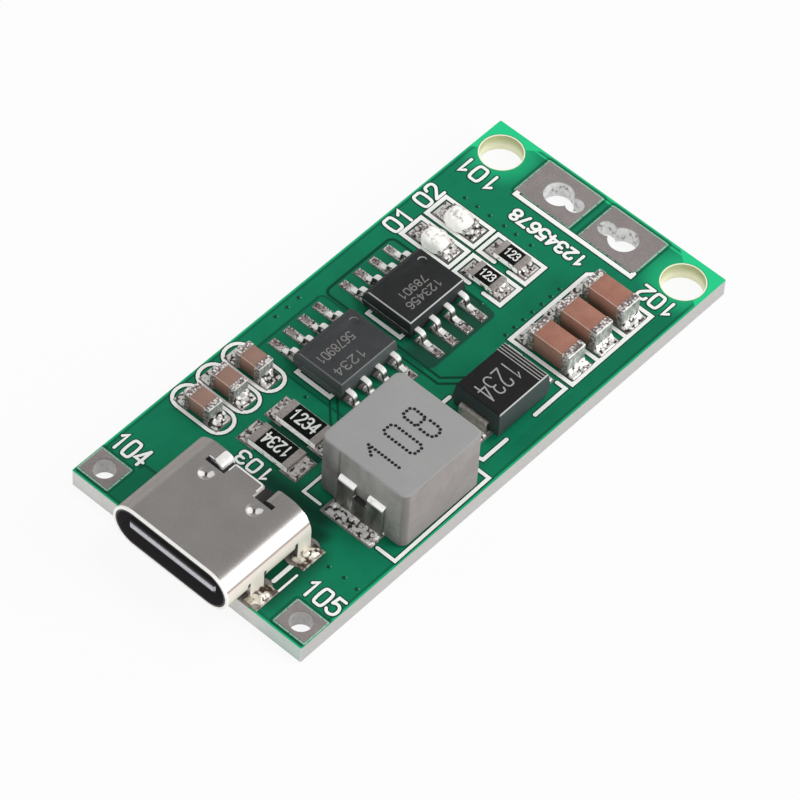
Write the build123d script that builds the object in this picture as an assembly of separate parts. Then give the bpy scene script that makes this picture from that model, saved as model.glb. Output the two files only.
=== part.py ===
from build123d import *
import os

os.makedirs("parts", exist_ok=True)

# The board is centred on the origin, underside at z = 0, connector end towards -Y. Sizes are in mm,
# and an inset is measured from the end of the board that is named with it.
board_width = 18.0
board_length = 37.2
board_thick = 1.3
board_edge_break = 0.05
mount_hole_radius = 1.5
mount_hole_pitch = 14.5
mount_hole_rear_inset = 1.9

# Copper pads stand a little proud of the board, and plated holes have a thin wall
pad_thick = 0.04
plating_wall = 0.07
seat = board_thick + pad_thick

# Battery pads with a figure-eight hole each, small lobe towards the middle
battery_pad_x = 2.56
battery_pad_rear_inset = 1.95
battery_pad_width = 4.2
battery_pad_length = 3.1
battery_hole_radius = 0.97
battery_lobe_radius = 0.6
battery_lobe_shift = 1.27

# Charging input pads in the two corners beside the connector
charge_pad_x = 7.72
charge_pad_front_inset = 1.38
charge_pad_width = 2.25
charge_pad_length = 1.9
charge_hole_radius = 0.73

# Eight-lead packages, long side along Y
ic_x = -3.3
charger_ic_y = 4.34
switch_ic_x = -3.1
switch_ic_y = -1.85
switch_pads_y = -1.8
ic_width = 3.9
ic_length = 4.9
ic_lower_height = 0.65
ic_upper_height = 0.8
ic_standoff = 0.1
ic_draft = 9
ic_bevel = 0.3
ic_edge_break = 0.05
ic_mark_radius = 0.28
ic_mark_depth = 0.06
ic_mark_inset = 0.75
lead_pitch = 1.27
lead_count = 4
lead_width = 0.42
lead_thick = 0.2
lead_span = 6.2
lead_shoulder = 0.4
lead_foot = 0.5
lead_bend = 0.16
ic_pad_reach = 4.0
ic_pad_width = 2.0
ic_pad_length = 0.6

# Diode with two folded terminals, long side along Y
diode_x = 5.42
diode_y = 2.3
diode_width = 3.65
diode_length = 4.55
diode_lower_height = 0.85
diode_upper_height = 1.08
diode_draft = 7
diode_lift = 0.24
diode_tab_width = 2.1
diode_tab_thick = 0.2
diode_tab_gap = 0.12
diode_tab_under = 1.1
diode_pad_width = 2.4
diode_pad_length = 2.0
diode_pad_reach = 3.45
diode_solder_rise = 0.41

# Power inductor: a pressed block with a strap down each end
inductor_x = 5.2
inductor_y = -6.25
inductor_width = 6.6
inductor_length = 6.7
inductor_top = 6.1
inductor_lift = 0.06
inductor_corner = 0.42
inductor_edge = 0.1
strap_x = 5.35
strap_width = 3.3
strap_thick = 0.22
strap_exit_top = 4.1
strap_stand = 0.12
strap_under = 1.7
strap_bend = 0.16
strap_slot_width = 0.9
strap_slot_height = 0.55
strap_gap = 0.18
strap_recess = 0.3
inductor_pad_x = 5.12
inductor_pad_width = 3.9
inductor_pad_reach = 4.55
inductor_pad_length = 2.3
inductor_solder_rise = 0.75

# Chip capacitors: three at the output and three at the input
chip_wrap = 0.04
output_cap_size = (3.2, 1.6, 1.6)
output_cap_end = 0.5
output_cap_x = 5.35
output_cap_y = 9.7
output_cap_pitch = 2.46
output_pad_x = 5.2
output_pad_y = 9.75
output_pad_pitch = 2.45
output_pad_size = (1.15, 1.75)
output_pad_reach = 2.3
input_cap_size = (2.0, 1.25, 1.25)
input_cap_end = 0.42
input_cap_x = -6.6
input_cap_y = -8.05
input_cap_pitch = 2.13
input_cap_pad_x = -6.65
input_cap_pad_size = (1.1, 1.4)
input_cap_pad_reach = 1.75
cap_edge_round = 0.1

# Chip resistors: two for sensing the current and two for the lamps
sense_size = (3.2, 1.6, 0.55)
sense_end = 0.5
sense_x = -1.5
sense_y = -8.22
sense_pitch = 2.37
sense_pad_size = (1.3, 1.9)
sense_pad_reach = 2.35
lamp_res_size = (2.0, 1.25, 0.5)
lamp_res_end = 0.38
lamp_res_x = -1.2
lamp_y = 9.69
lamp_pitch = 2.22
glaze_thick = 0.04
glaze_border = 0.13
res_wrap = 0.05
small_pad_size = (0.95, 1.35)
small_pad_reach = 1.65

# Indicator lamps: a base with two metal ends and a clear moulded top
led_x = -5.4
led_size = (2.0, 1.25, 0.4)
led_end = 0.35
led_wrap = 0.04
led_lens_length = 1.35
led_lens_height = 0.7
led_lens_draft = 6
led_lens_round = 0.12

# Type-C receptacle, mouth towards -Y and overhanging the board. What a name says is behind, ahead or
# set back is measured from the rear of the shell, or from the mouth where the name says so.
shell_x = 0.15
shell_rear_inset = 5.5
shell_length = 6.9
shell_width = 8.94
shell_height = 3.16
shell_wall = 0.3
tab_half_width = 1.12
tab_setback = 0.35
notch_depth = 1.35
slit_width = 0.32
slit_half_length = 2.6
lug_fold = 2.2
lug_run = 0.3
lug_bend = 0.29
lug_drop = 1.25
lug_corner = 0.35
floor_leg_clear = 1.07
floor_setback = 1.1
dimple_x = 1.87
dimple_setback = 2.0
dimple_radius = 0.5
dimple_depth = 0.16
leg_width = 1.1
leg_relief = 0.2
leg_setback = 0.55
leg_pitch = 3.9
leg_slot_gap = 0.15
leg_pad_border = 0.38
moulding_setback = 0.2
moulding_length = 1.7
moulding_gap = 0.03
tongue_side_room = 0.825
tongue_thick = 0.7
tongue_mouth_setback = 0.1
tongue_root_thick = 1.3
tongue_root_length = 0.9
tongue_tip_break = 0.12
contact_width = 0.5
contact_thick = 0.15
contact_bend = 0.15
contact_tip_setback = 0.6
contact_drop_setback = 0.7
contact_tail_reach = 0.8
upper_contact_x = (-0.5, 1.52, 2.75)
lower_contact_x = (0.5, -1.52, -2.75)
contact_pad_width = 0.7
contact_pad_reach = 1.1
contact_pad_gap = 0.08

# Solder fillets
solder_hollow = 0.2
solder_margin = 0.06
output_cap_solder_rise = 1.2
input_cap_solder_rise = 0.94
sense_solder_rise = 0.47
lamp_solder_rise = 0.42
led_solder_rise = 0.34
toe_solder_rise = 0.16
toe_solder_knee = 0.3
leg_mound_height = 0.45
leg_mound_taper = 24

board_rear = board_length / 2
board_front = -board_length / 2
shell_rear = board_front + shell_rear_inset
shell_front = shell_rear - shell_length
shell_top = board_thick + shell_height
shell_mid_z = board_thick + shell_height / 2
moulding_rear = shell_rear - moulding_setback
moulding_front = moulding_rear - moulding_length
leg_offset = (shell_width - shell_wall) / 2
floor_half_width = leg_offset - floor_leg_clear


# Evenly spaced rows about a middle, from the rear to the front
def rows(middle, pitch, count):
    return [middle + ((count - 1) / 2 - i) * pitch for i in range(count)]


lead_rows = rows(0, lead_pitch, lead_count)
output_cap_rows = rows(output_cap_y, output_cap_pitch, 3)
output_pad_rows = rows(output_pad_y, output_pad_pitch, 3)
input_cap_rows = rows(input_cap_y, input_cap_pitch, 3)
sense_rows = rows(sense_y, sense_pitch, 2)
lamp_rows = rows(lamp_y, lamp_pitch, 2)
leg_rows = (shell_rear - leg_setback, shell_rear - leg_setback - leg_pitch)


# A box standing on height z, with its plan centred on x and y
def block(x, y, z, width, length, height):
    return Pos(x, y, z) * Box(width, length, height, align=(Align.CENTER, Align.CENTER, Align.MIN))


# A flat section drawn with its own x along X and its own y along Z, facing -Y, at depth y
def upright(x, y, z, section):
    return Pos(x, y, z) * Rot(90, 0, 0) * section


# A strip bent along a path in its own x and y, turned upright in the XZ plane and given a width
def bent_strip(points, bend, thick, width):
    face = trace(FilletPolyline(*points, radius=bend), thick)
    return extrude(Rot(90, 0, 0) * face, width / 2, both=True)


# A fillet with a hollow slope, its upright side on x = 0, running out along +X
def solder_wedge(run, rise, width):
    slope = Bezier((run, 0), (run * solder_hollow, rise * solder_hollow), (0, rise))
    face = make_face([Line((0, 0), (run, 0)), slope, Line((0, rise), (0, 0))])
    return extrude(Rot(90, 0, 0) * face, width / 2, both=True)


# A low fillet in two flat slopes, for the toe of a thin lead
def toe_wedge(run, rise, width):
    knee = (run * toe_solder_knee, rise * toe_solder_knee)
    face = make_face(Polyline((0, 0), (run, 0), knee, (0, rise), close=True))
    return extrude(Rot(90, 0, 0) * face, width / 2, both=True)


def battery_place(side):
    return Pos(side * battery_pad_x, board_rear - battery_pad_rear_inset)


def battery_hole(side, grow):
    lobe = Pos(-side * battery_lobe_shift, 0) * Circle(battery_lobe_radius + grow)
    return battery_place(side) * (Circle(battery_hole_radius + grow) + lobe)


def battery_flange(side):
    return battery_place(side) * Rectangle(battery_pad_width, battery_pad_length)


def charge_place(side):
    return Pos(side * charge_pad_x, board_front + charge_pad_front_inset)


def charge_hole(side, grow):
    return charge_place(side) * Circle(charge_hole_radius + grow)


def charge_flange(side):
    return charge_place(side) * Rectangle(charge_pad_width, charge_pad_length)


# A slot for one connector leg, longer along Y
def leg_slot(side, y, grow):
    length = leg_width + 2 * (leg_slot_gap + grow)
    width = shell_wall + 2 * (leg_slot_gap + grow)
    return Pos(shell_x + side * leg_offset, y) * Rot(0, 0, 90) * SlotOverall(length, width)


def leg_flange(side, y):
    return leg_slot(side, y, plating_wall + leg_pad_border)


# A plated hole: a flange on the board, a wall through it and a flange let into the underside
def plated_hole(flange, hole, wall):
    top = extrude(Pos(0, 0, board_thick) * (flange - hole), pad_thick)
    under = extrude(flange - hole, pad_thick)
    return top + under + extrude(wall - hole, board_thick)


# What one plated hole takes out of the board
def plated_room(flange, wall):
    return extrude(wall, board_thick) + extrude(flange, pad_thick)


def circuit_board():
    board = block(0, 0, 0, board_width, board_length, board_thick)
    board = chamfer(board.edges().filter_by(Axis.Z), board_edge_break)
    for side in (-1, 1):
        hole_y = board_rear - mount_hole_rear_inset
        hole = Pos(side * mount_hole_pitch / 2, hole_y) * Circle(mount_hole_radius)
        board -= extrude(hole, board_thick)
        board -= plated_room(battery_flange(side), battery_hole(side, plating_wall))
        board -= plated_room(charge_flange(side), charge_hole(side, plating_wall))
        for y in leg_rows:
            board -= plated_room(leg_flange(side, y), leg_slot(side, y, plating_wall))
    return board


# A pair of pads either side of a part along X, measured to their outer edges
def pad_pair(x, y, size, reach):
    shift = reach - size[0] / 2
    return [block(x + side * shift, y, board_thick, *size, pad_thick) for side in (-1, 1)]


def component_pads():
    pads = []
    for centre_y in (charger_ic_y, switch_pads_y):
        for y in lead_rows:
            pads += pad_pair(ic_x, centre_y + y, (ic_pad_width, ic_pad_length), ic_pad_reach)
    for y in output_pad_rows:
        pads += pad_pair(output_pad_x, y, output_pad_size, output_pad_reach)
    for y in input_cap_rows:
        pads += pad_pair(input_cap_pad_x, y, input_cap_pad_size, input_cap_pad_reach)
    for y in sense_rows:
        pads += pad_pair(sense_x, y, sense_pad_size, sense_pad_reach)
    for y in lamp_rows:
        pads += pad_pair(led_x, y, small_pad_size, small_pad_reach)
        pads += pad_pair(lamp_res_x, y, small_pad_size, small_pad_reach)
    for side in (-1, 1):
        y = diode_y + side * (diode_pad_reach - diode_pad_length / 2)
        pads.append(block(diode_x, y, board_thick, diode_pad_width, diode_pad_length, pad_thick))
        y = inductor_y + side * (inductor_pad_reach - inductor_pad_length / 2)
        size = (inductor_pad_width, inductor_pad_length, pad_thick)
        pads.append(block(inductor_pad_x, y, board_thick, *size))
        for y in leg_rows:
            slot = leg_slot(side, y, 0)
            pads.append(plated_hole(leg_flange(side, y), slot, leg_slot(side, y, plating_wall)))
    length = contact_pad_reach - contact_pad_gap
    for x in upper_contact_x + lower_contact_x:
        y = shell_rear + contact_pad_reach - length / 2
        pads.append(block(shell_x + x, y, board_thick, contact_pad_width, length, pad_thick))
    return Compound(children=pads)


# The moulded body widest at its parting line, bevelled along the first lead's side
def ic_body():
    parting = Rectangle(ic_width, ic_length)
    body = extrude(parting, ic_upper_height, taper=ic_draft)
    body += extrude(parting, -ic_lower_height, taper=ic_draft)
    top = body.faces().sort_by(Axis.Z)[-1]
    body = chamfer(top.edges().sort_by(Axis.X)[0], ic_bevel)
    top = body.faces().sort_by(Axis.Z)[-1]
    body = chamfer(top.edges().sort_by(Axis.X)[1:], ic_edge_break)
    mark_x = ic_mark_inset - ic_width / 2 + ic_bevel
    mark_y = ic_length / 2 - ic_mark_inset
    mark = Pos(mark_x, mark_y, ic_upper_height - ic_mark_depth) * Cylinder(
        ic_mark_radius, 2 * ic_mark_depth, align=(Align.CENTER, Align.CENTER, Align.MIN)
    )
    return body - mark


# Leads that leave the parting line, step down and end in a foot on the pad
def ic_leads():
    drop = ic_lower_height + ic_standoff - lead_thick / 2
    toe = lead_span / 2
    knee = ic_width / 2 + lead_shoulder
    points = [(ic_width / 2, 0), (knee, 0), (toe - lead_foot, -drop), (toe, -drop)]
    lead = bent_strip(points, lead_bend, lead_thick, lead_width)
    right = [Pos(0, y, 0) * lead for y in lead_rows]
    return right + [Rot(0, 0, 180) * lead for lead in right]


def ic_parting(x, y):
    return Pos(x, y, seat + ic_standoff + ic_lower_height)


def ic_solder(x, y):
    fillets = []
    for side, turn in ((1, 0), (-1, 180)):
        toe = x + side * lead_span / 2
        run = ic_pad_reach - abs(toe - ic_x) - solder_margin
        wedge = toe_wedge(run, toe_solder_rise, lead_width)
        fillets += [Pos(toe, y + shift, seat) * Rot(0, 0, turn) * wedge for shift in lead_rows]
    return fillets


def diode_body():
    parting = Rectangle(diode_width, diode_length)
    body = extrude(parting, diode_upper_height, taper=diode_draft)
    body += extrude(parting, -diode_lower_height, taper=diode_draft)
    top = body.faces().sort_by(Axis.Z)[-1]
    body = chamfer(top.edges(), ic_edge_break)
    return Pos(diode_x, diode_y, seat + diode_lift + diode_lower_height) * body


# A terminal that leaves the end at the parting line and folds down and under
def diode_terminal(side):
    half = diode_tab_thick / 2
    reach = diode_length / 2 + diode_tab_gap + half
    drop = diode_lift + diode_lower_height - half
    points = [(diode_length / 2, 0), (reach, 0), (reach, -drop), (reach - diode_tab_under, -drop)]
    tab = bent_strip(points, diode_tab_gap, diode_tab_thick, diode_tab_width)
    return Pos(diode_x, diode_y, seat + drop + half) * Rot(0, 0, 90 * side) * tab


def inductor_block():
    height = inductor_top - seat - inductor_lift
    body = block(0, 0, 0, inductor_width, inductor_length, height)
    body = chamfer(body.edges().filter_by(Axis.Z), inductor_corner)
    body = fillet(body.faces().sort_by(Axis.Z)[-1].edges(), inductor_edge)
    body = chamfer(body.faces().sort_by(Axis.Z)[0].edges(), inductor_edge)
    body = Pos(inductor_x, inductor_y, seat + inductor_lift) * body
    room = strap_width + 2 * strap_gap
    rise = strap_exit_top - seat
    for side in (-1, 1):
        y = inductor_y + side * (inductor_length / 2 - strap_recess / 2)
        body -= block(strap_x, y, seat, room, strap_recess, rise)
        length = strap_under + strap_gap
        y = inductor_y + side * (inductor_length / 2 - length / 2)
        body -= block(strap_x, y, seat, room, length, strap_thick)
    return body


# The strap comes out level, turns down the end and folds under, with a slot through its upper bend
def inductor_strap(side):
    half = strap_thick / 2
    start = inductor_length / 2 - strap_recess
    reach = inductor_length / 2 + strap_stand - half
    drop = strap_exit_top - seat - strap_thick
    points = [(start, 0), (reach, 0), (reach, -drop), (reach - strap_under, -drop)]
    strap = bent_strip(points, strap_bend, strap_thick, strap_width)
    slot = block(reach, 0, half - strap_slot_height, strap_recess, strap_slot_width, strap_slot_height)
    strap -= slot
    return Pos(strap_x, inductor_y, strap_exit_top - half) * Rot(0, 0, 90 * side) * strap


# The ceramic between and inside the two metal ends of a chip
def chip_core(x, y, size, wrap):
    length, width, height = (value - 2 * wrap for value in size)
    return block(x, y, seat + wrap, length, width, height)


# Metal caps dipped over both ends of a capacitor
def chip_ends(x, y, size, end):
    shift = (size[0] - end) / 2
    core = chip_core(x, y, size, chip_wrap)
    ends = []
    for side in (-1, 1):
        cap = block(x + side * shift, y, seat, end, size[1], size[2])
        outer = cap.faces().sort_by(Axis.X)[-1 if side > 0 else 0]
        long_edges = cap.edges().filter_by(Axis.X)
        cap = fillet(outer.edges() + long_edges, cap_edge_round)
        ends.append(cap - core)
    return ends


# A flat white chip, as wide as its metal ends
def resistor_base(x, y, size):
    return block(x, y, seat + res_wrap, size[0] - 2 * res_wrap, size[1], size[2] - 2 * res_wrap)


# Metal folded over the top, end and underside at both ends of a flat chip
def wrapped_ends(x, y, size, end, wrap):
    base = block(x, y, seat + wrap, size[0] - 2 * wrap, size[1], size[2] - 2 * wrap)
    shift = (size[0] - end) / 2
    return [block(x + side * shift, y, seat, end, size[1], size[2]) - base for side in (-1, 1)]


# The dark coat on top of a resistor, between its ends
def resistor_glaze(x, y, size, end):
    length = size[0] - 2 * end
    coat = block(x, y, 0, length, size[1] - 2 * glaze_border, res_wrap + glaze_thick)
    coat = chamfer(coat.faces().sort_by(Axis.Z)[-1].edges(), glaze_thick)
    return Pos(0, 0, seat + size[2] - res_wrap) * coat


def led_base(y):
    length = led_size[0] - 2 * led_wrap
    return block(led_x, y, seat + led_wrap, length, led_size[1], led_size[2] - 2 * led_wrap)


def led_lens(y):
    plan = Rectangle(led_lens_length, led_size[1])
    lens = extrude(plan, led_lens_height + led_wrap, taper=led_lens_draft)
    ends = led_size[0] - 2 * led_end
    lens = fillet(lens.faces().sort_by(Axis.Z)[-1].edges(), led_lens_round)
    lens = Pos(led_x, y, seat + led_size[2] - led_wrap) * lens
    spread = led_lens_length - ends
    for side in (-1, 1):
        x = led_x + side * (ends + spread) / 2
        lens -= block(x, y, seat, spread, led_size[1], led_size[2])
    return lens


# Fillets from the pads up both end faces of a chip
def chip_solder(x, y, size, pad_x, reach, rise):
    fillets = []
    for side, turn in ((1, 0), (-1, 180)):
        end = x + side * size[0] / 2
        run = reach + side * (pad_x - end) - solder_margin
        wedge = solder_wedge(run, rise, size[1] - 2 * solder_margin)
        fillets.append(Pos(end, y, seat) * Rot(0, 0, turn) * wedge)
    return fillets


def shell_section(shrink):
    return SlotOverall(shell_width - 2 * shrink, shell_height - 2 * shrink)


# One lug folded down from the inner edge of a rear wing, with its lower front corner rounded
def shell_lug(side):
    length = notch_depth - slit_width
    half = shell_wall / 2
    points = [(0, 0), (lug_run, 0), (lug_run, half - lug_drop)]
    lug = bent_strip(points, lug_bend, shell_wall, length)
    front = lug.edges().filter_by(Axis.X).sort_by(Axis.Z)[:2].sort_by(Axis.Y)[0]
    lug = fillet(front, lug_corner)
    if side > 0:
        lug = mirror(lug, Plane.YZ)
    return Pos(shell_x + side * lug_fold, shell_rear - length / 2, shell_top - half) * lug


def connector_shell():
    tube = shell_section(0) - shell_section(shell_wall)
    shell = extrude(upright(shell_x, shell_rear, shell_mid_z, tube), shell_length)
    roof = shell_top - 2 * shell_wall
    floor = board_thick - shell_wall
    cut = 3 * shell_wall
    shell -= block(shell_x, shell_rear - tab_setback / 2, roof, 2 * lug_fold, tab_setback, cut)
    shell -= block(shell_x, shell_rear - floor_setback / 2, floor, 2 * floor_half_width, floor_setback, cut)
    slit_y = shell_rear - notch_depth + slit_width / 2
    for side in (-1, 1):
        width = lug_fold - tab_half_width
        x = shell_x + side * (tab_half_width + width / 2)
        shell -= block(x, shell_rear - notch_depth / 2, roof, width, notch_depth, cut)
        width = slit_half_length - tab_half_width
        x = shell_x + side * (tab_half_width + width / 2)
        shell -= block(x, slit_y, roof, width, slit_width, cut)
    for side in (-1, 1):
        shell += shell_lug(side)
        for y in leg_rows:
            width = shell_height / 2
            x = shell_x + side * (shell_width - width) / 2
            window = leg_width + 2 * leg_relief
            shell -= block(x, y, floor, width, window, shell_mid_z - floor)
            shell += block(shell_x + side * leg_offset, y, 0, shell_wall, leg_width, shell_mid_z)
        sphere = (dimple_radius**2 + dimple_depth**2) / (2 * dimple_depth)
        place = Pos(shell_x + side * dimple_x, shell_rear - dimple_setback, shell_top - dimple_depth + sphere)
        shell -= place * Sphere(sphere)
    return shell


# A contact runs along one face of the tongue, drops through the moulding and ends in a tail on its pad
def contact(x, side):
    half = contact_thick / 2
    level = shell_mid_z + side * (tongue_thick / 2 - half)
    tip = shell_front + tongue_mouth_setback + contact_tip_setback
    drop = shell_rear - contact_drop_setback
    foot = seat + half
    points = [(tip, level), (drop, level), (drop, foot), (shell_rear + contact_tail_reach, foot)]
    strip = bent_strip(points, contact_bend, contact_thick, contact_width)
    return Pos(shell_x + x, 0, 0) * Rot(0, 0, 90) * strip


# The moulding fills the rear of the shell, with a foot on the board and room for both lugs
def connector_moulding(contacts):
    section = shell_section(shell_wall + moulding_gap)
    body = extrude(upright(shell_x, moulding_rear, shell_mid_z, section), moulding_length)
    depth = floor_setback - moulding_setback - moulding_gap
    width = 2 * (floor_half_width - moulding_gap)
    height = shell_mid_z - board_thick
    body += block(shell_x, moulding_rear - depth / 2, board_thick, width, depth, height)
    y = shell_rear - notch_depth / 2
    for side in (-1, 1):
        x = shell_x + side * (lug_fold - lug_run)
        drop = lug_drop + moulding_gap
        body -= block(x, y, shell_top - drop, shell_wall + 2 * moulding_gap, notch_depth, drop)
        bend = lug_run + shell_wall / 2
        x += side * bend / 2
        body -= block(x, y, shell_top - bend - moulding_gap, bend, notch_depth, bend)
    for piece in contacts:
        body -= piece
    return body


def connector_tongue(contacts):
    width = shell_width - 2 * (shell_wall + tongue_side_room)
    length = moulding_front - shell_front - tongue_mouth_setback
    y = moulding_front - length / 2
    tongue = block(shell_x, y, shell_mid_z - tongue_thick / 2, width, length, tongue_thick)
    tip = tongue.faces().sort_by(Axis.Y)[0]
    tongue = chamfer(tip.edges(), tongue_tip_break)
    y = moulding_front - tongue_root_length / 2
    low = shell_mid_z - tongue_root_thick / 2
    tongue += block(shell_x, y, low, width, tongue_root_length, tongue_root_thick)
    for piece in contacts:
        tongue -= piece
    return tongue


# Solder round each leg: a plug in the slot and a mound on the pad, both cut by the leg
def leg_joint(side, y):
    plug = extrude(leg_slot(side, y, 0), seat)
    base = leg_slot(side, y, plating_wall + leg_pad_border - solder_margin)
    mound = extrude(Pos(0, 0, seat) * base, leg_mound_height, taper=leg_mound_taper)
    leg = block(shell_x + side * leg_offset, y, 0, shell_wall, leg_width, shell_mid_z)
    return plug + mound - leg


def save(name, shapes):
    shape = Compound(children=list(shapes)) if isinstance(shapes, (list, tuple)) else shapes
    shape.label = name
    export_step(shape, f"parts/{name}.step")


save("circuit_board", circuit_board())
save("component_pads", component_pads())
for side, word in ((-1, "left"), (1, "right")):
    pad = plated_hole(battery_flange(side), battery_hole(side, 0), battery_hole(side, plating_wall))
    save(f"battery_pad_{word}", pad)
    pad = plated_hole(charge_flange(side), charge_hole(side, 0), charge_hole(side, plating_wall))
    save(f"charge_pad_{word}", pad)

for name, x, y in (("charger_ic", ic_x, charger_ic_y), ("switch_ic", switch_ic_x, switch_ic_y)):
    place = ic_parting(x, y)
    save(f"{name}_body", place * ic_body())
    save(f"{name}_leads", [place * lead for lead in ic_leads()])
save("ic_solder", ic_solder(ic_x, charger_ic_y) + ic_solder(switch_ic_x, switch_ic_y))

save("diode_body", diode_body())
save("inductor_block", inductor_block())
diode_fillets = []
inductor_fillets = []
for side, word in ((-1, "front"), (1, "rear")):
    save(f"diode_terminal_{word}", diode_terminal(side))
    save(f"inductor_strap_{word}", inductor_strap(side))
    start = diode_length / 2 + diode_tab_gap + diode_tab_thick
    run = diode_pad_reach - start - solder_margin
    wedge = Pos(start, 0, 0) * solder_wedge(run, diode_solder_rise, diode_tab_width)
    diode_fillets.append(Pos(diode_x, diode_y, seat) * Rot(0, 0, 90 * side) * wedge)
    start = inductor_length / 2 + strap_stand
    run = inductor_pad_reach - start - solder_margin
    wedge = Pos(start, 0, 0) * solder_wedge(run, inductor_solder_rise, strap_width)
    inductor_fillets.append(Pos(strap_x, inductor_y, seat) * Rot(0, 0, 90 * side) * wedge)
save("diode_solder", diode_fillets)
save("inductor_solder", inductor_fillets)

cap_fillets = []
for number, y in enumerate(output_cap_rows, 1):
    save(f"output_cap_{number}_body", chip_core(output_cap_x, y, output_cap_size, chip_wrap))
    save(f"output_cap_{number}_ends", chip_ends(output_cap_x, y, output_cap_size, output_cap_end))
    cap_fillets += chip_solder(
        output_cap_x, y, output_cap_size, output_pad_x, output_pad_reach, output_cap_solder_rise
    )
for number, y in enumerate(input_cap_rows, 1):
    save(f"input_cap_{number}_body", chip_core(input_cap_x, y, input_cap_size, chip_wrap))
    save(f"input_cap_{number}_ends", chip_ends(input_cap_x, y, input_cap_size, input_cap_end))
    cap_fillets += chip_solder(
        input_cap_x, y, input_cap_size, input_cap_pad_x, input_cap_pad_reach, input_cap_solder_rise
    )
save("capacitor_solder", cap_fillets)

res_fillets = []
for name, x, ys, size, end, reach, rise in (
    ("sense_resistor", sense_x, sense_rows, sense_size, sense_end, sense_pad_reach, sense_solder_rise),
    ("lamp_resistor", lamp_res_x, lamp_rows, lamp_res_size, lamp_res_end, small_pad_reach, lamp_solder_rise),
):
    for number, y in enumerate(ys, 1):
        save(f"{name}_{number}_base", resistor_base(x, y, size))
        save(f"{name}_{number}_ends", wrapped_ends(x, y, size, end, res_wrap))
        save(f"{name}_{number}_glaze", resistor_glaze(x, y, size, end))
        res_fillets += chip_solder(x, y, size, x, reach, rise)
save("resistor_solder", res_fillets)

led_fillets = []
for number, y in enumerate(lamp_rows, 1):
    save(f"led_{number}_base", led_base(y))
    save(f"led_{number}_lens", led_lens(y))
    save(f"led_{number}_ends", wrapped_ends(led_x, y, led_size, led_end, led_wrap))
    led_fillets += chip_solder(led_x, y, led_size, led_x, small_pad_reach, led_solder_rise)
save("led_solder", led_fillets)

upper = [contact(x, 1) for x in upper_contact_x]
lower = [contact(x, -1) for x in lower_contact_x]
save("connector_shell", connector_shell())
save("connector_moulding", connector_moulding(upper + lower))
save("connector_tongue", connector_tongue(upper + lower))
save("connector_contacts_upper", upper)
save("connector_contacts_lower", lower)
save("connector_solder", [leg_joint(side, y) for side in (-1, 1) for y in leg_rows])
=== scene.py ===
# Battery charger module: finishes, print, solder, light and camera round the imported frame
import bpy
import bmesh
import numpy as np
from mathutils import Matrix, Vector


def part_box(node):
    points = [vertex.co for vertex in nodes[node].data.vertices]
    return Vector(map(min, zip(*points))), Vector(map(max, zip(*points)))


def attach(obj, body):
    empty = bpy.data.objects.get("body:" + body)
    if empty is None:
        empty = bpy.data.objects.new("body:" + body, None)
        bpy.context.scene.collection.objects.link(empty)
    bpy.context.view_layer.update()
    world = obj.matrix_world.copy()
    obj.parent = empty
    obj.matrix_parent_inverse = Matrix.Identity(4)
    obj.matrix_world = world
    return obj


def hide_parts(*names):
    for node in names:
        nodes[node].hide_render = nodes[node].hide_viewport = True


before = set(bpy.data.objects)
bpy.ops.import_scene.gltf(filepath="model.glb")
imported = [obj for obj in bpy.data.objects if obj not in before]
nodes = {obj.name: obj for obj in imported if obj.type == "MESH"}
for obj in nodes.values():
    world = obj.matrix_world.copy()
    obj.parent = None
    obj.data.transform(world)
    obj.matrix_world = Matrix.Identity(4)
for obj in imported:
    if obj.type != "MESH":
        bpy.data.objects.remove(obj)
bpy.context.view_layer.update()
mm = 0.001
boardTop = round(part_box("circuit_board")[1][2] / mm, 3)  # heights in mm
solderFoot = round(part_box("component_pads")[1][2] / mm, 3) - 0.005  # a hair under the tops of the pads
print("frame loaded,", len(nodes), "nodes")


def seen(red, green, blue):  # a colour as it is seen, 0 to 255, to linear light
    part = np.array([red, green, blue]) / 255
    linear = np.where(part < 0.04045, part / 12.92, ((part + 0.055) / 1.055) ** 2.4)
    return (*linear.tolist(), 1.0)


# Shader maths
class Wire:  # one value among the nodes; operators on it add Math nodes
    def __init__(self, maker, socket):
        self.maker = maker
        self.socket = socket

    def math(self, operation, *others):
        return self.maker.node("Math", {"operation": operation}, [self, *others])

    def __add__(self, other):
        return self.math("ADD", other)

    def __sub__(self, other):
        return self.math("SUBTRACT", other)

    def __mul__(self, other):
        return self.math("MULTIPLY", other)

    def __rsub__(self, other):
        return self.maker.node("Math", {"operation": "SUBTRACT"}, [other, self])

    def __neg__(self):
        return self * -1.0

    def __abs__(self):
        return self.math("ABSOLUTE")

    __radd__ = __add__
    __rmul__ = __mul__

    def high(self, other):
        return self.math("MAXIMUM", other)

    def low(self, other):
        return self.math("MINIMUM", other)

    def step(self, start, end):  # smooth step from 0 at start to 1 at end
        inputs = {"Value": self, "From Min": start, "From Max": end}
        if start > end:
            inputs = {"Value": self, "From Min": end, "From Max": start, "To Min": 1.0, "To Max": 0.0}
        return self.maker.node("MapRange", {"interpolation_type": "SMOOTHSTEP"}, inputs)


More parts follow.
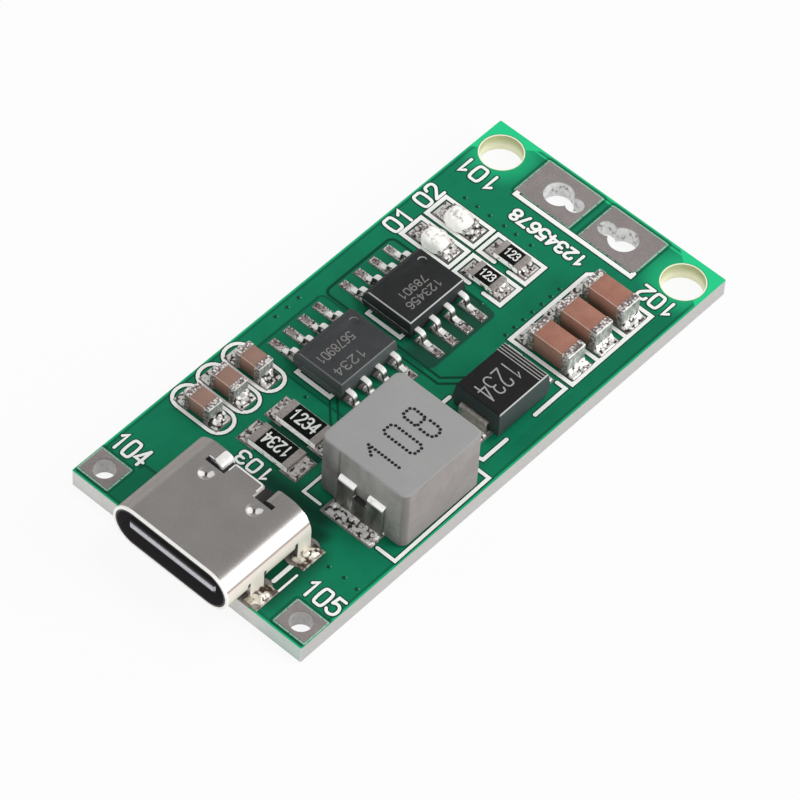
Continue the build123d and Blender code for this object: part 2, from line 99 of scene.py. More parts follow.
class NodeMaker:  # a node tree, and the one method that adds a node to it
    def __init__(self, tree):
        self.tree = tree

    def node(self, kind, settings, inputs, output=0):
        made = self.tree.nodes.new("ShaderNode" + kind)
        for key, value in settings.items():
            if key == "stops":
                stops = made.color_ramp.elements
                while len(stops) < len(value):
                    stops.new(0.5)
                for stop, (position, colour) in zip(stops, value):
                    stop.position, stop.color = position, colour
            else:
                setattr(made, key, value)
        for key, value in inputs.items() if isinstance(inputs, dict) else enumerate(inputs):
            if isinstance(value, Wire):
                self.tree.links.new(value.socket, made.inputs[key])
            else:
                made.inputs[key].default_value = value
        return made if output is None else Wire(self, made.outputs[output])

    def parts(self, vector):
        return [Wire(self, socket) for socket in self.node("SeparateXYZ", {}, [vector], None).outputs]

    def rays(self):  # for three kinds of ray, 1 where such a ray meets the surface
        outputs = self.node("LightPath", {}, {}, None).outputs
        return [Wire(self, outputs[f"Is {kind} Ray"]) for kind in ("Camera", "Glossy", "Transmission")]


class Finish(NodeMaker):  # a material with one Principled shader
    def __init__(self, name, **fixed):
        self.material = bpy.data.materials.new(name)
        self.material.use_nodes = True
        super().__init__(self.material.node_tree)
        self.shader = self.tree.nodes["Principled BSDF"]
        words = {"specular": "Specular IOR Level"}
        for key, value in fixed.items():
            self.shader.inputs[words.get(key, key.replace("_", " ").title())].default_value = value
        place = self.node("TexCoord", {}, {}, "Object")
        self.place = self.node("VectorMath", {"operation": "SCALE"}, {"Vector": place, "Scale": 1 / mm})
        self.x, self.y, self.z = self.parts(self.place)  # board millimetres
        self.nx, self.ny, self.nz = self.parts(self.node("TexCoord", {}, {}, "Normal"))

    def noise(self, grain, detail=3.0, rough=0.55, stretch=None):  # grain in mm, value about 0.3 to 0.7
        where = self.place
        if stretch:
            where = self.node("VectorMath", {"operation": "MULTIPLY"}, {0: where, 1: stretch})
        inputs = {"Vector": where, "Scale": 1 / grain, "Detail": detail, "Roughness": rough}
        return self.node("TexNoise", {}, inputs)

    def cells(self, grain):
        return self.node("TexVoronoi", {}, {"Vector": self.place, "Scale": 1 / grain})

    def blend(self, amount, first, second):  # two colours
        return self.node("Mix", {"data_type": "RGBA"}, {0: amount, 6: first, 7: second}, 2)

    def ramp(self, value, *stops):  # each stop is a position, and red, green and blue as seen
        stops = [(position, seen(*tone)) for position, *tone in stops]
        return self.node("ValToRGB", {"stops": stops}, [value])

    def feed(self, **wires):
        for key, wire in wires.items():
            self.tree.links.new(wire.socket, self.shader.inputs[key.replace("_", " ").title()])

    def bump(self, height, depth, strength=1.0):  # depth in mm
        inputs = {"Height": height, "Distance": depth * mm, "Strength": strength}
        self.feed(normal=self.node("Bump", {}, inputs))

    def box(self, x, y, halfX, halfY, radius):  # signed distance to a rounded rectangle in plan
        outX = abs(self.x - x) - (halfX - radius)
        outY = abs(self.y - y) - (halfY - radius)
        right, up = outX.high(0.0), outY.high(0.0)
        return (right * right + up * up).math("SQRT") + outX.high(outY).low(0.0) - radius

    def away(self, x, y):  # distance in plan from a point
        right, up = self.x - x, self.y - y
        return (right * right + up * up).math("SQRT")

    def line(self, distance, width, soft=0.06):  # a band round distance 0
        return abs(distance).step(width / 2 + soft, width / 2 - soft)


# Finishes
boardLook = {
    "copperGreen": seen(19, 129, 93),
    "deepGreen": seen(14, 98, 71),
    "channelGreen": seen(12, 64, 48),
    "pourGreen": seen(34, 76, 62),
    "shelterGreen": seen(14, 52, 41),
    "bareGreen": seen(42, 212, 144),
    "edgeGrey": seen(190, 189, 188),
    "frontGrey": seen(246, 246, 244),
    "frontGreen": seen(216, 231, 224),
    "holeYellow": seen(246, 246, 214),
    "holeOlive": seen(172, 182, 104),
    "paleRim": seen(176, 205, 188),
    "outline": (0.0, 0.0, 9.0, 18.6, 0.05),  # middle, half sizes and corner radius in plan
    "chargerPour": (-3.3, 4.15, 4.25, 2.95, 0.45),
    "switchPour": (-3.4, -1.95, 4.15, 2.95, 0.4),
    "socketShadow": (-5.35, -17.2, 0.95, 1.8, 0.25),
    "wirePads": [(2.56, 16.65, 2.1, 1.55), (-2.56, 16.65, 2.1, 1.55),  # middle and half sizes
                 (7.72, -17.22, 1.125, 0.95), (-7.72, -17.22, 1.125, 0.95)],
    "screwHole": (7.25, 16.7),  # the right one; the left one mirrors it
}


def boardCoat(look):
    coat = Finish("boardCoat", specular=0.1)
    x, y = coat.x, coat.y
    grain = coat.noise(1.1, 5.0)
    fine = coat.noise(0.12, 2.0)
    colour = coat.blend(grain.step(0.4, 0.75) * 0.2, look["copperGreen"], look["deepGreen"])
    # darker field inside the charger's pour, deepest on its right, with a channel round it
    inner = coat.box(*look["chargerPour"])
    field = inner.step(0.08, -0.08) * (x.step(-2.0, -0.6) * 0.75 + 0.15)
    colour = coat.blend(field, colour, look["pourGreen"])
    channel = coat.line(inner, 0.2) * x.step(0.4, -0.6)
    lower = coat.box(*look["switchPour"])
    colour = coat.blend(lower.step(0.08, -0.08) * 0.35, colour, look["deepGreen"])
    channel = channel.high(coat.line(lower, 0.16) * x.step(1.0, 0.0) * 0.7)
    # a track between two thin channels: level, then slanting up under the diode
    for shift in (0.0, 0.42):
        turn = shift * 0.5  # the lower channel slants off a little further right
        level = abs(y - (1.18 - shift)).step(0.13, 0.05) * x.step(-1.2, -0.9)
        level = level * x.step(1.72 + turn, 1.68 + turn)
        slant = abs(y - x + 0.5 + shift * 1.5).step(0.18, 0.08) * x.step(1.66 + turn, 1.7 + turn)
        slant = slant * x.step(3.4, 3.3)
        channel = channel.high(level).high(slant)
    feedback = abs(abs(x + y + 6.05) - 0.32).step(0.16, 0.06) * x.step(-1.9, -1.7) * x.step(0.9, 0.7)
    channel = channel.high(feedback * 0.9)
    colour = coat.blend(channel * 0.9, colour, look["channelGreen"])
    colour = coat.blend(x.step(7.8, 8.0) * y.step(-1.0, 0.5) * 0.3, colour, look["deepGreen"])
    # deeper tone where the inductor, the resistors and the socket keep the light off
    shelter = coat.box(1.6, -11.3, 2.6, 0.7, 0.6).step(1.1, -0.6)
    shelter = shelter.high(coat.box(-1.2, -8.22, 1.9, 0.3, 0.2).step(0.4, 0.0))
    shelter = shelter.high(coat.box(4.9, -15.4, 0.4, 2.2, 0.3).step(1.3, -0.1) * 0.85)
    shelter = shelter.high(coat.box(3.4, -12.3, 1.2, 0.5, 0.3).step(0.9, -0.2))
    colour = coat.blend(shelter * 0.85, colour, look["shelterGreen"])
    # painted shadow of the socket on the coat between the left wire pad and the socket, with a dark line
    # along its rear
    socketShadow = coat.box(*look["socketShadow"])
    colour = coat.blend(socketShadow.step(0.08, -0.12) * 0.5, colour, look["deepGreen"])
    colour = coat.blend(coat.line(socketShadow, 0.16) * y.step(-16.1, -15.7) * 0.7, colour, look["channelGreen"])
    # no copper at the rear corners and along the rear edge, so the coat is bright there
    corner = (abs(x) * 0.8 + y).step(22.8, 22.95)
    holeX, holeY = look["screwHole"]
    aside, beyond = abs(x) - holeX, y - holeY
    radius = (aside * aside + beyond * beyond).math("SQRT")
    glow = radius.step(3.0, 1.5) * 0.45
    strip = y.step(18.1, 18.2) * (0.85 - abs(y - 18.36).step(0.1, 0.04) * 0.45)
    border = coat.box(*look["outline"])
    rim = border.step(-0.16, -0.08) * 0.6
    bare = corner.high(strip).high(rim)
    colour = coat.blend(bare.high(glow), colour, look["bareGreen"])
    colour = coat.blend(coat.line(border + 0.24, 0.12) * (1.0 - corner) * 0.5, colour, look["channelGreen"])
    # pale line where the coat stops round the wire pads
    for padX, padY, halfX, halfY in look["wirePads"]:
        edge = coat.box(padX, padY, halfX + 0.05, halfY + 0.05, 0.05)
        colour = coat.blend(coat.line(edge, 0.11, 0.03) * fine.step(0.3, 0.5), colour, look["paleRim"])
        colour = coat.blend(coat.line(edge - 0.17, 0.16) * 0.6, colour, look["channelGreen"])
    # cut edges show the laminate; the screw holes have a pale rim and an olive wall
    wall = abs(coat.nz).step(0.6, 0.4)
    fibres = coat.noise(0.1, 3.0, 0.6, (0.4, 0.4, 3.0))
    hole = coat.blend(coat.z.step(0.35, 1.05) * 0.8, look["holeYellow"], look["holeOlive"])
    # the forward cut face is painted paler than the other cut faces as painted light, and greener towards the
    # right
    front = coat.blend(x.step(5.2, 7.0), look["frontGrey"], look["frontGreen"])
    cut = coat.blend((-coat.ny).step(0.4, 0.7), look["edgeGrey"], front)
    bareEdge = coat.blend(radius.step(1.7, 1.6), cut, hole)
    bareEdge = coat.blend(fibres.step(0.35, 0.75) * 0.2, bareEdge, seen(150, 150, 140))
    colour = coat.blend(wall, colour, bareEdge)
    coat.feed(base_color=colour, roughness=0.38 + fine * 0.14)
    coat.bump(fine * 0.15 + grain * 0.3 - channel.high(bare), 0.02, 0.6)
    return coat.material


def tinnedCopper():
    tin = Finish("tinnedCopper", specular=0.5)
    speckle = tin.noise(0.09, 3.0, 0.7)
    broad = tin.noise(0.8, 3.0)
    colour = tin.ramp(speckle * 0.75 + broad * 0.25, (0.3, 136, 128, 127), (0.52, 155, 147, 146),
                      (0.75, 178, 171, 170))
    wall = abs(tin.nz).step(0.6, 0.4)
    streak = tin.noise(0.3, 4.0, 0.6, (1.0, 1.0, 0.6))
    silver = tin.ramp(streak, (0.32, 120, 118, 117), (0.42, 226, 226, 225), (0.7, 254, 254, 254))
    # duller in the charging pads, and darker under the rim of each hole
    silver = tin.blend(tin.y.step(-15.0, -16.0) * 0.7, silver, seen(168, 163, 161))
    silver = tin.blend(tin.z.step(1.2, 1.27) * 0.6, silver, seen(96, 92, 90))
    tin.feed(base_color=tin.blend(wall, colour, silver))
    tin.feed(metallic=0.2 + wall * 0.2, roughness=0.5 - wall * 0.2)
    tin.bump(speckle + streak * wall * 3.0, 0.015, 0.7)
    return tin.material


# Painted highlights on the lumps between painted dark hollows, all from noise; flat tin is grey with a little
# red in it
def solderTin(name, flatTone=(150, 136, 134), brightTone=(250, 249, 246), level=1.4, grain=0.24,
              darkTone=(44, 38, 36)):
    tin = Finish(name, specular=0.6)
    lumps = tin.noise(grain * 1.6, 3.0, 0.6)
    tone = lumps * 0.6 + (0.9 - tin.cells(grain)) * 0.5
    bright = tin.ramp(tone, (0.37, *darkTone), (0.43, 160, 152, 148), (0.48, *brightTone),
                      (0.9, *brightTone))
    flat = tin.ramp(tone, (0.36, 96, 86, 84), (0.46, *flatTone), (0.62, 172, 162, 160))
    above = tin.z.step(level - 0.02, level + 0.02)
    tin.feed(base_color=tin.blend(above, flat, bright))
    tin.feed(metallic=0.3 + above * 0.1, roughness=0.18 + lumps * 0.25)
    tin.bump(tone, 0.08, 0.8)
    return tin.material


# Leads and straps: painted light on top and over the bends, painted shade where they hang down. The slot
# between two prongs is painted dark as shade too: it is given by its middle, half width and foot. Lit faces
# get a painted glow
def bentTin(name, top, side, grain, slot=None, glow=0.0):
    tin = Finish(name, emission_strength=1.0)
    noise = tin.noise(grain, 3.0, 0.6)
    streak = tin.noise(grain * 2.5, 3.0, 0.6, (1.0, 1.0, 0.2))
    hang = abs(tin.nz).step(0.55, 0.25)
    light = tin.ramp(noise, (0.3, *[0.8 * part for part in top]), (0.4, *top), (0.7, *top))
    dark = tin.ramp(streak, (0.35, *[0.6 * part for part in side]), (0.6, *side), (0.72, *top))
    colour, shaded = tin.blend(hang, light, dark), hang
    if slot:
        x, half, foot = slot
        gap = abs(tin.x - x).step(half, half - 0.08) * tin.z.step(foot - 0.25, foot + 0.05)
        colour, shaded = tin.blend(gap, colour, seen(58, 56, 54)), hang.high(gap)
    tin.feed(base_color=colour, metallic=0.08 + hang * 0.25, roughness=0.24 + noise * 0.15)
    tin.feed(emission_color=tin.blend(shaded, (glow, glow, glow, 1), (0, 0, 0, 1)))
    tin.bump(noise + streak, 0.02, 0.6)
    return tin.material


# The socket's shell: where it stands, its half width and corner radius, the radius of the lip at its mouth,
# and how far the dimples are to each side
shellSpec = {
    "x": 0.15,
    "front": -20.0,
    "middle": 2.88,
    "half": 4.47,
    "round": 1.58,
    "lip": 0.115,
    "dimples": 1.87,
    "dimpleY": -15.1,
}


# Grey on top; a painted reflection, white where it rounds over to the right and cream below that; faces
# turned left painted a matt grey; painted shade inside; a painted highlight and glow along the edge of the
# mouth; and painted glints round the dimples, whose middles are painted dark as shade
def satinShell(spec):
    steel = Finish("satinShell", specular=0.5, emission_strength=1.0)
    sweep = steel.noise(1.6, 3.0, 0.5)
    fine = steel.noise(0.05, 2.0)
    colour = steel.ramp(sweep, (0.3, 222, 217, 214), (0.7, 232, 227, 224))
    # painted reflection: white then cream down the right-hand rounding
    cream = steel.ramp(steel.nz + 0.5, (0.05, 150, 140, 108), (0.3, 236, 231, 214), (0.55, 247, 243, 233),
                       (0.84, 246, 233, 225), (0.91, 172, 158, 150), (0.94, 172, 160, 152),
                       (0.99, 255, 255, 255))
    side = steel.nx.step(0.3, 0.4) * steel.nz.step(0.56, 0.5)
    colour = steel.blend(side, colour, cream)
    # faces turned left are painted a matt grey in place of their reflection
    leftward = (-steel.nx).step(0.1, 0.5)
    colour = steel.blend(leftward, colour, seen(166, 157, 152))
    # painted highlight along the front edge of the mouth
    edge = steel.y.step(spec["front"] + 0.14, spec["front"] + 0.08)
    colour = steel.blend(edge, colour, seen(252, 250, 247))
    matt = side.high(leftward).high(edge)
    # inside, painted dark as shade: within the wall's outline where it faces forward, and wherever it faces
    # the middle
    aside, rise = steel.x - spec["x"], steel.z - spec["middle"]
    flank = (abs(aside) - (spec["half"] - spec["round"])).high(0.0)
    within = (flank * flank + rise * rise).math("SQRT").step(spec["round"] - 0.12, spec["round"] - 0.15)
    inward = aside * steel.nx * 0.35 + rise * steel.nz
    inside = ((-steel.ny).step(0.6, 0.9) * within).high(inward.step(0.0, -0.1))
    colour = steel.blend(inside, colour, seen(34, 32, 33))
    matt = matt.high(inside * 0.8)
    # painted glow on the mouth's edge, and a faint one inside
    glow = steel.blend(edge, (0, 0, 0, 1), (0.13, 0.13, 0.12, 1))
    steel.feed(emission_color=steel.blend(inside, glow, (0.014, 0.013, 0.014, 1)))
    for hand in (-1, 1):
        x, y = spec["x"] + hand * spec["dimples"], spec["dimpleY"]
        away = steel.away(x, y)
        wander = steel.noise(0.25, 2.0) * 0.2
        near = (steel.away(x - 0.2, y - 0.17) + wander).step(0.34, 0.24)
        far = (steel.away(x + 0.21, y + 0.14) + wander).step(0.37, 0.27)
        glints = near.high(far)
        # dimple middles painted dark as shade, with painted glints round them
        colour = steel.blend((away + wander).step(0.3, 0.16), colour, seen(52, 48, 46))
        colour = steel.blend(glints, colour, seen(254, 253, 250))
        matt = matt.high(glints)
    steel.feed(base_color=colour, metallic=0.97 - matt * 0.8, roughness=0.22 + fine * 0.08 + matt * 0.2)
    steel.bump(fine, 0.003, 0.3)
    return steel.material


# Two tones mixed by a fine and a broad noise
def plainFinish(name, dark, light, grain, depth, roughness, **fixed):
    made = Finish(name, **fixed)
    noise = made.noise(grain, 4.0, 0.6)
    broad = made.noise(grain * 9, 3.0)
    tone = noise * 0.7 + broad * 0.3
    made.feed(base_color=made.ramp(tone, (0.32, *dark), (0.68, *light)))
    made.feed(roughness=roughness + (noise - 0.5) * 0.12)
    made.bump(noise, depth, 0.7)
    return made.material


# Moulded package: its edges towards the light get a painted highlight, and so does its parting line; its
# walls are painted a lighter, greener tone as painted light and a reflection of the board
def packageBlack(name, face, wallTone, edgeLight, partLight, partLevel, frontEdge=1.0):
    body = Finish(name, specular=0.35)
    grain = body.noise(0.07, 3.0, 0.7)
    broad = body.noise(0.9, 3.0)
    dark, light = [[part + change for part in face] for change in (-9, 8)]
    colour = body.ramp(grain * 0.7 + broad * 0.3, (0.3, *dark), (0.7, *light))
    # walls painted lighter and greener, as painted light and reflection of the board
    wall = body.nz.step(0.6, 0.4)
    colour = body.blend(wall * 0.8, colour, seen(*wallTone))
    # painted highlight on the edges towards the light and along the parting line
    lit = (body.nx - body.ny * frontEdge).step(0.15, 0.35)
    rim = body.nz.step(0.3, 0.5) * body.nz.step(0.985, 0.9) * lit
    part = abs(body.z - partLevel).step(0.05, 0.02) * (-body.ny).step(0.5, 0.8)
    part = part * body.noise(0.35).step(0.35, 0.5)
    colour = body.blend((rim * edgeLight).high(part * partLight), colour, seen(206, 206, 204))
    body.feed(base_color=colour, roughness=0.5 + grain * 0.2)
    body.bump(grain, 0.012, 0.8)
    return body.material


# Brown ceramic, greyer on the input side, with paler walls painted darker towards the foot as shade, and a
# painted highlight as a thin bright line where the top turns over to the front
def brownCeramic():
    clay = Finish("brownCeramic", specular=0.35)
    grain = clay.noise(0.08, 3.0, 0.65)
    broad = clay.noise(0.7, 3.0)
    colour = clay.ramp(grain * 0.5 + broad * 0.5, (0.3, 156, 104, 88), (0.7, 181, 130, 112))
    colour = clay.blend(clay.x.step(-2.0, -4.0) * 0.5, colour, seen(140, 128, 118))
    colour = clay.blend(clay.nz.step(0.6, 0.4) * 0.5, colour, seen(196, 156, 138))
    # painted highlight where the top turns over to the front
    rim = clay.nz.step(0.2, 0.45) * clay.nz.step(0.97, 0.88) * (-clay.ny).step(0.1, 0.3)
    colour = clay.blend(rim * 0.8, colour, seen(236, 208, 194))
    # walls painted darker towards the foot as shade
    lowShade = clay.z.step(2.55, 1.5) * clay.nz.step(0.6, 0.4)
    clay.feed(base_color=clay.blend(lowShade * 0.58, colour, seen(58, 43, 36)), roughness=0.42 + grain * 0.2)
    clay.bump(grain, 0.01, 0.6)
    return clay.material


# Fired white base; its forward face is lumpy, white with dark mottles, and its bright lumps get a painted
# glow
def whiteCeramic():
    clay = Finish("whiteCeramic", specular=0.4, emission_strength=1.0)
    grain = clay.noise(0.1, 3.0)
    lumps = clay.noise(0.28, 3.0, 0.6)
    front = (-clay.ny).step(0.5, 0.8)
    colour = clay.ramp(grain, (0.3, 234, 233, 230), (0.7, 253, 253, 251))
    lumpy = clay.ramp(lumps, (0.34, 96, 92, 88), (0.42, 244, 244, 240), (0.8, 255, 255, 253))
    clay.feed(base_color=clay.blend(front, colour, lumpy), roughness=0.4 + grain * 0.2)
    # painted glow on the bright lumps of the forward face
    clay.feed(emission_color=clay.blend(front * lumps.step(0.36, 0.44), (0, 0, 0, 1), (0.3, 0.3, 0.29, 1)))
    clay.bump(grain + front * lumps * 3.0, 0.03, 0.8)
    return clay.material


# Dipped tin ends: coarse grains on top, streaks down the end faces, a painted highlight along the edges, and
# forward faces painted darker towards the foot as shade
def dippedTin():
    tin = Finish("dippedTin", specular=0.5, metallic=0.2)
    grain = tin.noise(0.13, 3.0, 0.7)
    tone = grain * 0.6 + (0.9 - tin.cells(0.17)) * 0.5
    streak = tin.noise(0.18, 3.0, 0.6, (1.0, 1.0, 0.3))
    top = tin.ramp(tone, (0.37, 112, 101, 98), (0.44, 146, 134, 132), (0.52, 180, 168, 166),
                   (0.6, 252, 250, 247))
    face = tin.ramp(streak * 0.7 + grain * 0.3, (0.34, 92, 96, 90), (0.43, 146, 151, 146),
                    (0.55, 182, 187, 181), (0.66, 248, 248, 245))
    colour = tin.blend(abs(tin.nx).step(0.6, 0.8), top, face)
    # forward faces painted darker towards the foot as shade
    colour = tin.blend((-tin.ny).step(0.6, 0.8) * tin.z.step(2.9, 1.8) * 0.6, colour, seen(92, 88, 76))
    # painted highlight along the edges
    rim = abs(tin.nz).step(0.25, 0.4) * abs(tin.nz).step(0.97, 0.85)
    colour = tin.blend(rim * 0.6, colour, seen(244, 246, 242))
    tin.feed(base_color=colour, roughness=0.3 + grain * 0.2)
    tin.bump(tone, 0.022, 0.8)
    return tin.material


# Straps on the ends of the inductor: where its middle is, their size, the slot between the prongs, the way
# out to the end face, how proud of it the plate stands, and the top
strapSpec = {
    "x": 5.35,
    "y": -6.25,
    "width": 3.5,
    "thick": 0.22,
    "slot": 0.95,
    "face": 3.35,
    "proud": 0.19,
    "top": 4.02,
}


# Pressed powder: even on top, mottled and streaked down the sides, paler at the straps, with a painted shadow
# line left of them; the right side is more even, and the corner where the front turns to it is painted as
# shade
def pressedIron(strap):
    block = Finish("pressedIron", specular=0.25)
    grain = block.noise(0.07, 3.0, 0.6)
    cloud = block.noise(1.3, 4.0, 0.6)
    streak = block.noise(0.7, 3.0, 0.6, (1.0, 1.0, 0.25))
    colour = block.ramp(grain * 0.6 + cloud * 0.4, (0.3, 157, 157, 157), (0.7, 165, 165, 165))
    wall = block.nz.step(0.8, 0.5)
    sides = block.ramp(cloud * 0.5 + streak * 0.5, (0.36, 132, 130, 128), (0.62, 170, 170, 167))
    across = abs(block.x - strap["x"])
    front = abs(block.ny).step(0.8, 0.95)
    sides = block.blend(across.step(1.95, 1.7) * front * 0.3, sides, seen(186, 184, 180))
    # painted shadow line just left of the strap
    shadow = abs(block.x - (strap["x"] - 1.86)).step(0.15, 0.0)
    sides = block.blend(shadow * front * 0.45, sides, seen(84, 84, 82))
    rightward = block.nx.step(0.3, 0.8)
    even = block.ramp(cloud, (0.35, 146, 139, 137), (0.65, 154, 150, 149))
    sides = block.blend(rightward, sides, even)
    # painted shade where the front turns to the right
    turned = block.nx.step(0.15, 0.5) * (-block.ny).step(0.0, 0.45)
    sides = block.blend(turned * 0.55, sides, seen(118, 115, 112))
    block.feed(base_color=block.blend(wall, colour, sides), roughness=0.6 + grain * 0.15)
    block.bump(grain + wall * streak * 2.0, 0.02, 0.7)
    return block.material


# Moulded resin, milky, with faint marks of the die under its crown, and a painted glow, strongest on its
# front
def lampResin():
    resin = Finish("lampResin", specular=0.4, emission_strength=1.0)
    marks = resin.noise(0.22, 4.0, 0.7)
    grain = resin.noise(0.3, 3.0)
    crown = resin.z.step(2.15, 2.27) * resin.noise(0.5, 1.0).step(0.4, 0.55)
    colour = resin.ramp(grain, (0.3, 240, 238, 230), (0.5, 253, 252, 248), (0.7, 254, 254, 252))
    colour = resin.blend(crown * marks.step(0.52, 0.4), colour, seen(158, 156, 150))
    behind = resin.ny.step(0.05, 0.45)  # its rear is in its own shade
    colour = resin.blend(behind * 0.8, colour, seen(214, 212, 202))
    resin.feed(base_color=colour, roughness=0.3 + marks * 0.3)
    # painted glow, strongest on the forward side and faint on the rear
    glow = resin.blend(grain.step(0.3, 0.6), (0.15, 0.15, 0.14, 1), (0.21, 0.21, 0.2, 1))
    glow = resin.blend((-resin.ny).step(0.2, 0.6), glow, (0.26, 0.26, 0.25, 1))
    resin.feed(emission_color=resin.blend(behind, glow, (0.02, 0.02, 0.02, 1)))
    resin.bump(marks + grain * 2.0, 0.05, 0.8)
    return resin.material


# The tongue's tip is grey between two black layers, and the grey has a painted glow
def tongueLook():
    tongue = Finish("tongueFace", specular=0.4, emission_strength=1.0)
    grain = tongue.noise(0.12, 3.0)
    band = abs(tongue.z - 2.93).step(0.25, 0.15) * (-tongue.ny).step(0.4, 0.6)
    colour = tongue.ramp(grain, (0.3, 160, 160, 168), (0.65, 206, 206, 214))
    tongue.feed(base_color=tongue.blend(band, seen(20, 20, 23), colour), roughness=0.35 + grain * 0.1)
    tongue.feed(emission_color=tongue.blend(band, (0.01, 0.01, 0.01, 1), (0.1, 0.1, 0.11, 1)))
    tongue.bump(grain, 0.01, 0.5)
    return tongue.material


looks = {
    "board": boardCoat(boardLook),
    "pads": tinnedCopper(),
    "solder": solderTin("chipSolder"),
    "resistorSolder": solderTin("resistorSolder", (150, 138, 136), (240, 234, 230), 1.41, 0.2),
    "legSolder": solderTin("legSolder", (150, 138, 124), (250, 243, 226), 1.42, 0.36, (70, 56, 38)),
    "shell": satinShell(shellSpec),
    "leads": bentTin("leadTin", (252, 251, 248), (120, 116, 110), 0.14),
    "terminals": plainFinish("terminalTin", (160, 152, 146), (214, 208, 202), 0.3, 0.02, 0.3, metallic=0.6),
    "straps": bentTin("strapTin", (254, 253, 250), (136, 134, 129), 0.3, (strapSpec["x"], 0.5, 3.2), 0.34),
    "inductor": pressedIron(strapSpec),
    "capacitor": brownCeramic(),
    "ends": dippedTin(),
    "resistorEnds": plainFinish("resistorTin", (146, 138, 134), (188, 180, 176), 0.16, 0.02, 0.38,
                                metallic=0.2),
    "ceramic": whiteCeramic(),
    "glaze": plainFinish("darkGlaze", (8, 12, 10), (20, 26, 23), 0.15, 0.01, 0.34, specular=0.15),
    "lampBase": plainFinish("lampBase", (222, 220, 210), (246, 245, 240), 0.12, 0.01, 0.5),
    "resin": lampResin(),
    # black moulding with a faint painted glow
    "moulding": plainFinish("blackMoulding", (18, 18, 20), (32, 32, 35), 0.1, 0.01, 0.5,
                            emission_strength=1.0, emission_color=(0.012, 0.011, 0.012, 1)),
    "contacts": plainFinish("goldContact", (190, 150, 80), (232, 196, 120), 0.2, 0.01, 0.25, metallic=1.0),
    "charger": packageBlack("chargerBlack", (40, 41, 42), (48, 54, 55), 0.95, 0.8, 2.09),
    "switch": packageBlack("switchBlack", (61, 64, 65), (88, 96, 96), 0.25, 0.25, 2.09),
    "diode": packageBlack("diodeBlack", (28, 28, 30), (58, 72, 71), 0.95, 0.0, 2.4, -0.4),
    "tongue": tongueLook(),
}
rules = [  # the first of these words that a node's name holds gives its finish
    ("circuit_board", "board"), ("resistor_solder", "resistorSolder"), ("connector_solder", "legSolder"),
    ("solder", "solder"), ("pad", "pads"), ("connector_shell", "shell"), ("moulding", "moulding"),
    ("tongue", "tongue"), ("contacts", "contacts"), ("leads", "leads"), ("terminal", "terminals"),
    ("strap", "straps"), ("inductor", "inductor"), ("charger_ic_body", "charger"),
    ("switch_ic_body", "switch"), ("diode_body", "diode"), ("glaze", "glaze"), ("lens", "resin"),
    ("resistor_1_ends", "resistorEnds"), ("resistor_2_ends", "resistorEnds"), ("_ends", "ends"),
    ("cap_", "capacitor"), ("led_", "lampBase"), ("_base", "ceramic"),
]


def lookFor(name):
    return looks[next(look for word, look in rules if word in name)]


for name, node in nodes.items():
    node.data.materials.clear()
    node.data.materials.append(lookFor(name))
print("finishes on", len(nodes), "nodes")


# Mesh builders; lengths in mm
def addMesh(name, shape, material, smooth=True):
    points, faces = shape
    mesh = bpy.data.meshes.new(name)
    mesh.from_pydata((np.asarray(points) * mm).tolist(), [], faces)
    mesh.polygons.foreach_set("use_smooth", np.full(len(mesh.polygons), smooth))
    if smooth:
        mesh.set_sharp_from_angle(angle=0.8)
    return addPiece(name, mesh, material)


def newObject(name, data):
    made = bpy.data.objects.new(name, data)
    bpy.context.scene.collection.objects.link(made)
    return made


def addPiece(name, mesh, material):
    mesh.materials.append(material)
    piece = newObject(name, mesh)
    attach(piece, "root")
    return piece


# CAD nodes copied into one bmesh, with the points that coincide merged
def mergedCopy(names):
    shape = bmesh.new()
    for name in names:
        part = nodes[name].data.copy()
        part.transform(nodes[name].matrix_world)
        shape.from_mesh(part)
    bmesh.ops.remove_doubles(shape, verts=shape.verts, dist=2e-7)
    return shape


# A changed copy as a smooth piece, in place of the nodes it was made from
def standIn(name, shape, material, replaced):
    mesh = bpy.data.meshes.new(name)
    shape.to_mesh(mesh)
    shape.free()
    mesh.materials.clear()
    mesh.polygons.foreach_set("use_smooth", np.full(len(mesh.polygons), True))
    mesh.polygons.foreach_set("material_index", np.zeros(len(mesh.polygons), int))
    mesh.set_sharp_from_angle(angle=0.6)
    piece = addPiece(name, mesh, material)
    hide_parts(*replaced)


# Nodes with clean faces and small rounded edges
def softCopy(names, width, material, sharpest=0.5):
    shape = mergedCopy(names)
    bmesh.ops.dissolve_limit(shape, angle_limit=0.03, verts=shape.verts, edges=shape.edges)
    edges = [edge for edge in shape.edges if len(edge.link_faces) == 2 and edge.calc_face_angle() > sharpest]
    bmesh.ops.bevel(shape, geom=edges, offset=width * mm, segments=2, profile=0.5, affect="EDGES",
                    clamp_overlap=True)
    standIn(names[0] + "_soft", shape, material, names)


# The collars of the socket's leg slots end flush with the board's front edge, as a routed edge cuts them
def flushPads(front):
    shape = mergedCopy(["component_pads"])
    everything = shape.verts[:] + shape.edges[:] + shape.faces[:]
    bmesh.ops.bisect_plane(shape, geom=everything, plane_co=(0, front * mm, 0), plane_no=(0, -1, 0),
                           clear_outer=True)
    bmesh.ops.holes_fill(shape, edges=[edge for edge in shape.edges if edge.is_boundary], sides=0)
    bmesh.ops.recalc_face_normals(shape, faces=shape.faces)
    standIn("flush_pads", shape, looks["pads"], ["component_pads"])


# Joins several (points, faces) pairs into one
def joined(parts):
    points, faces, start = [], [], 0
    for partPoints, partFaces in parts:
        points.append(partPoints)
        faces += [[start + i for i in face] for face in partFaces]
        start += len(partPoints)
    return np.concatenate(points), faces


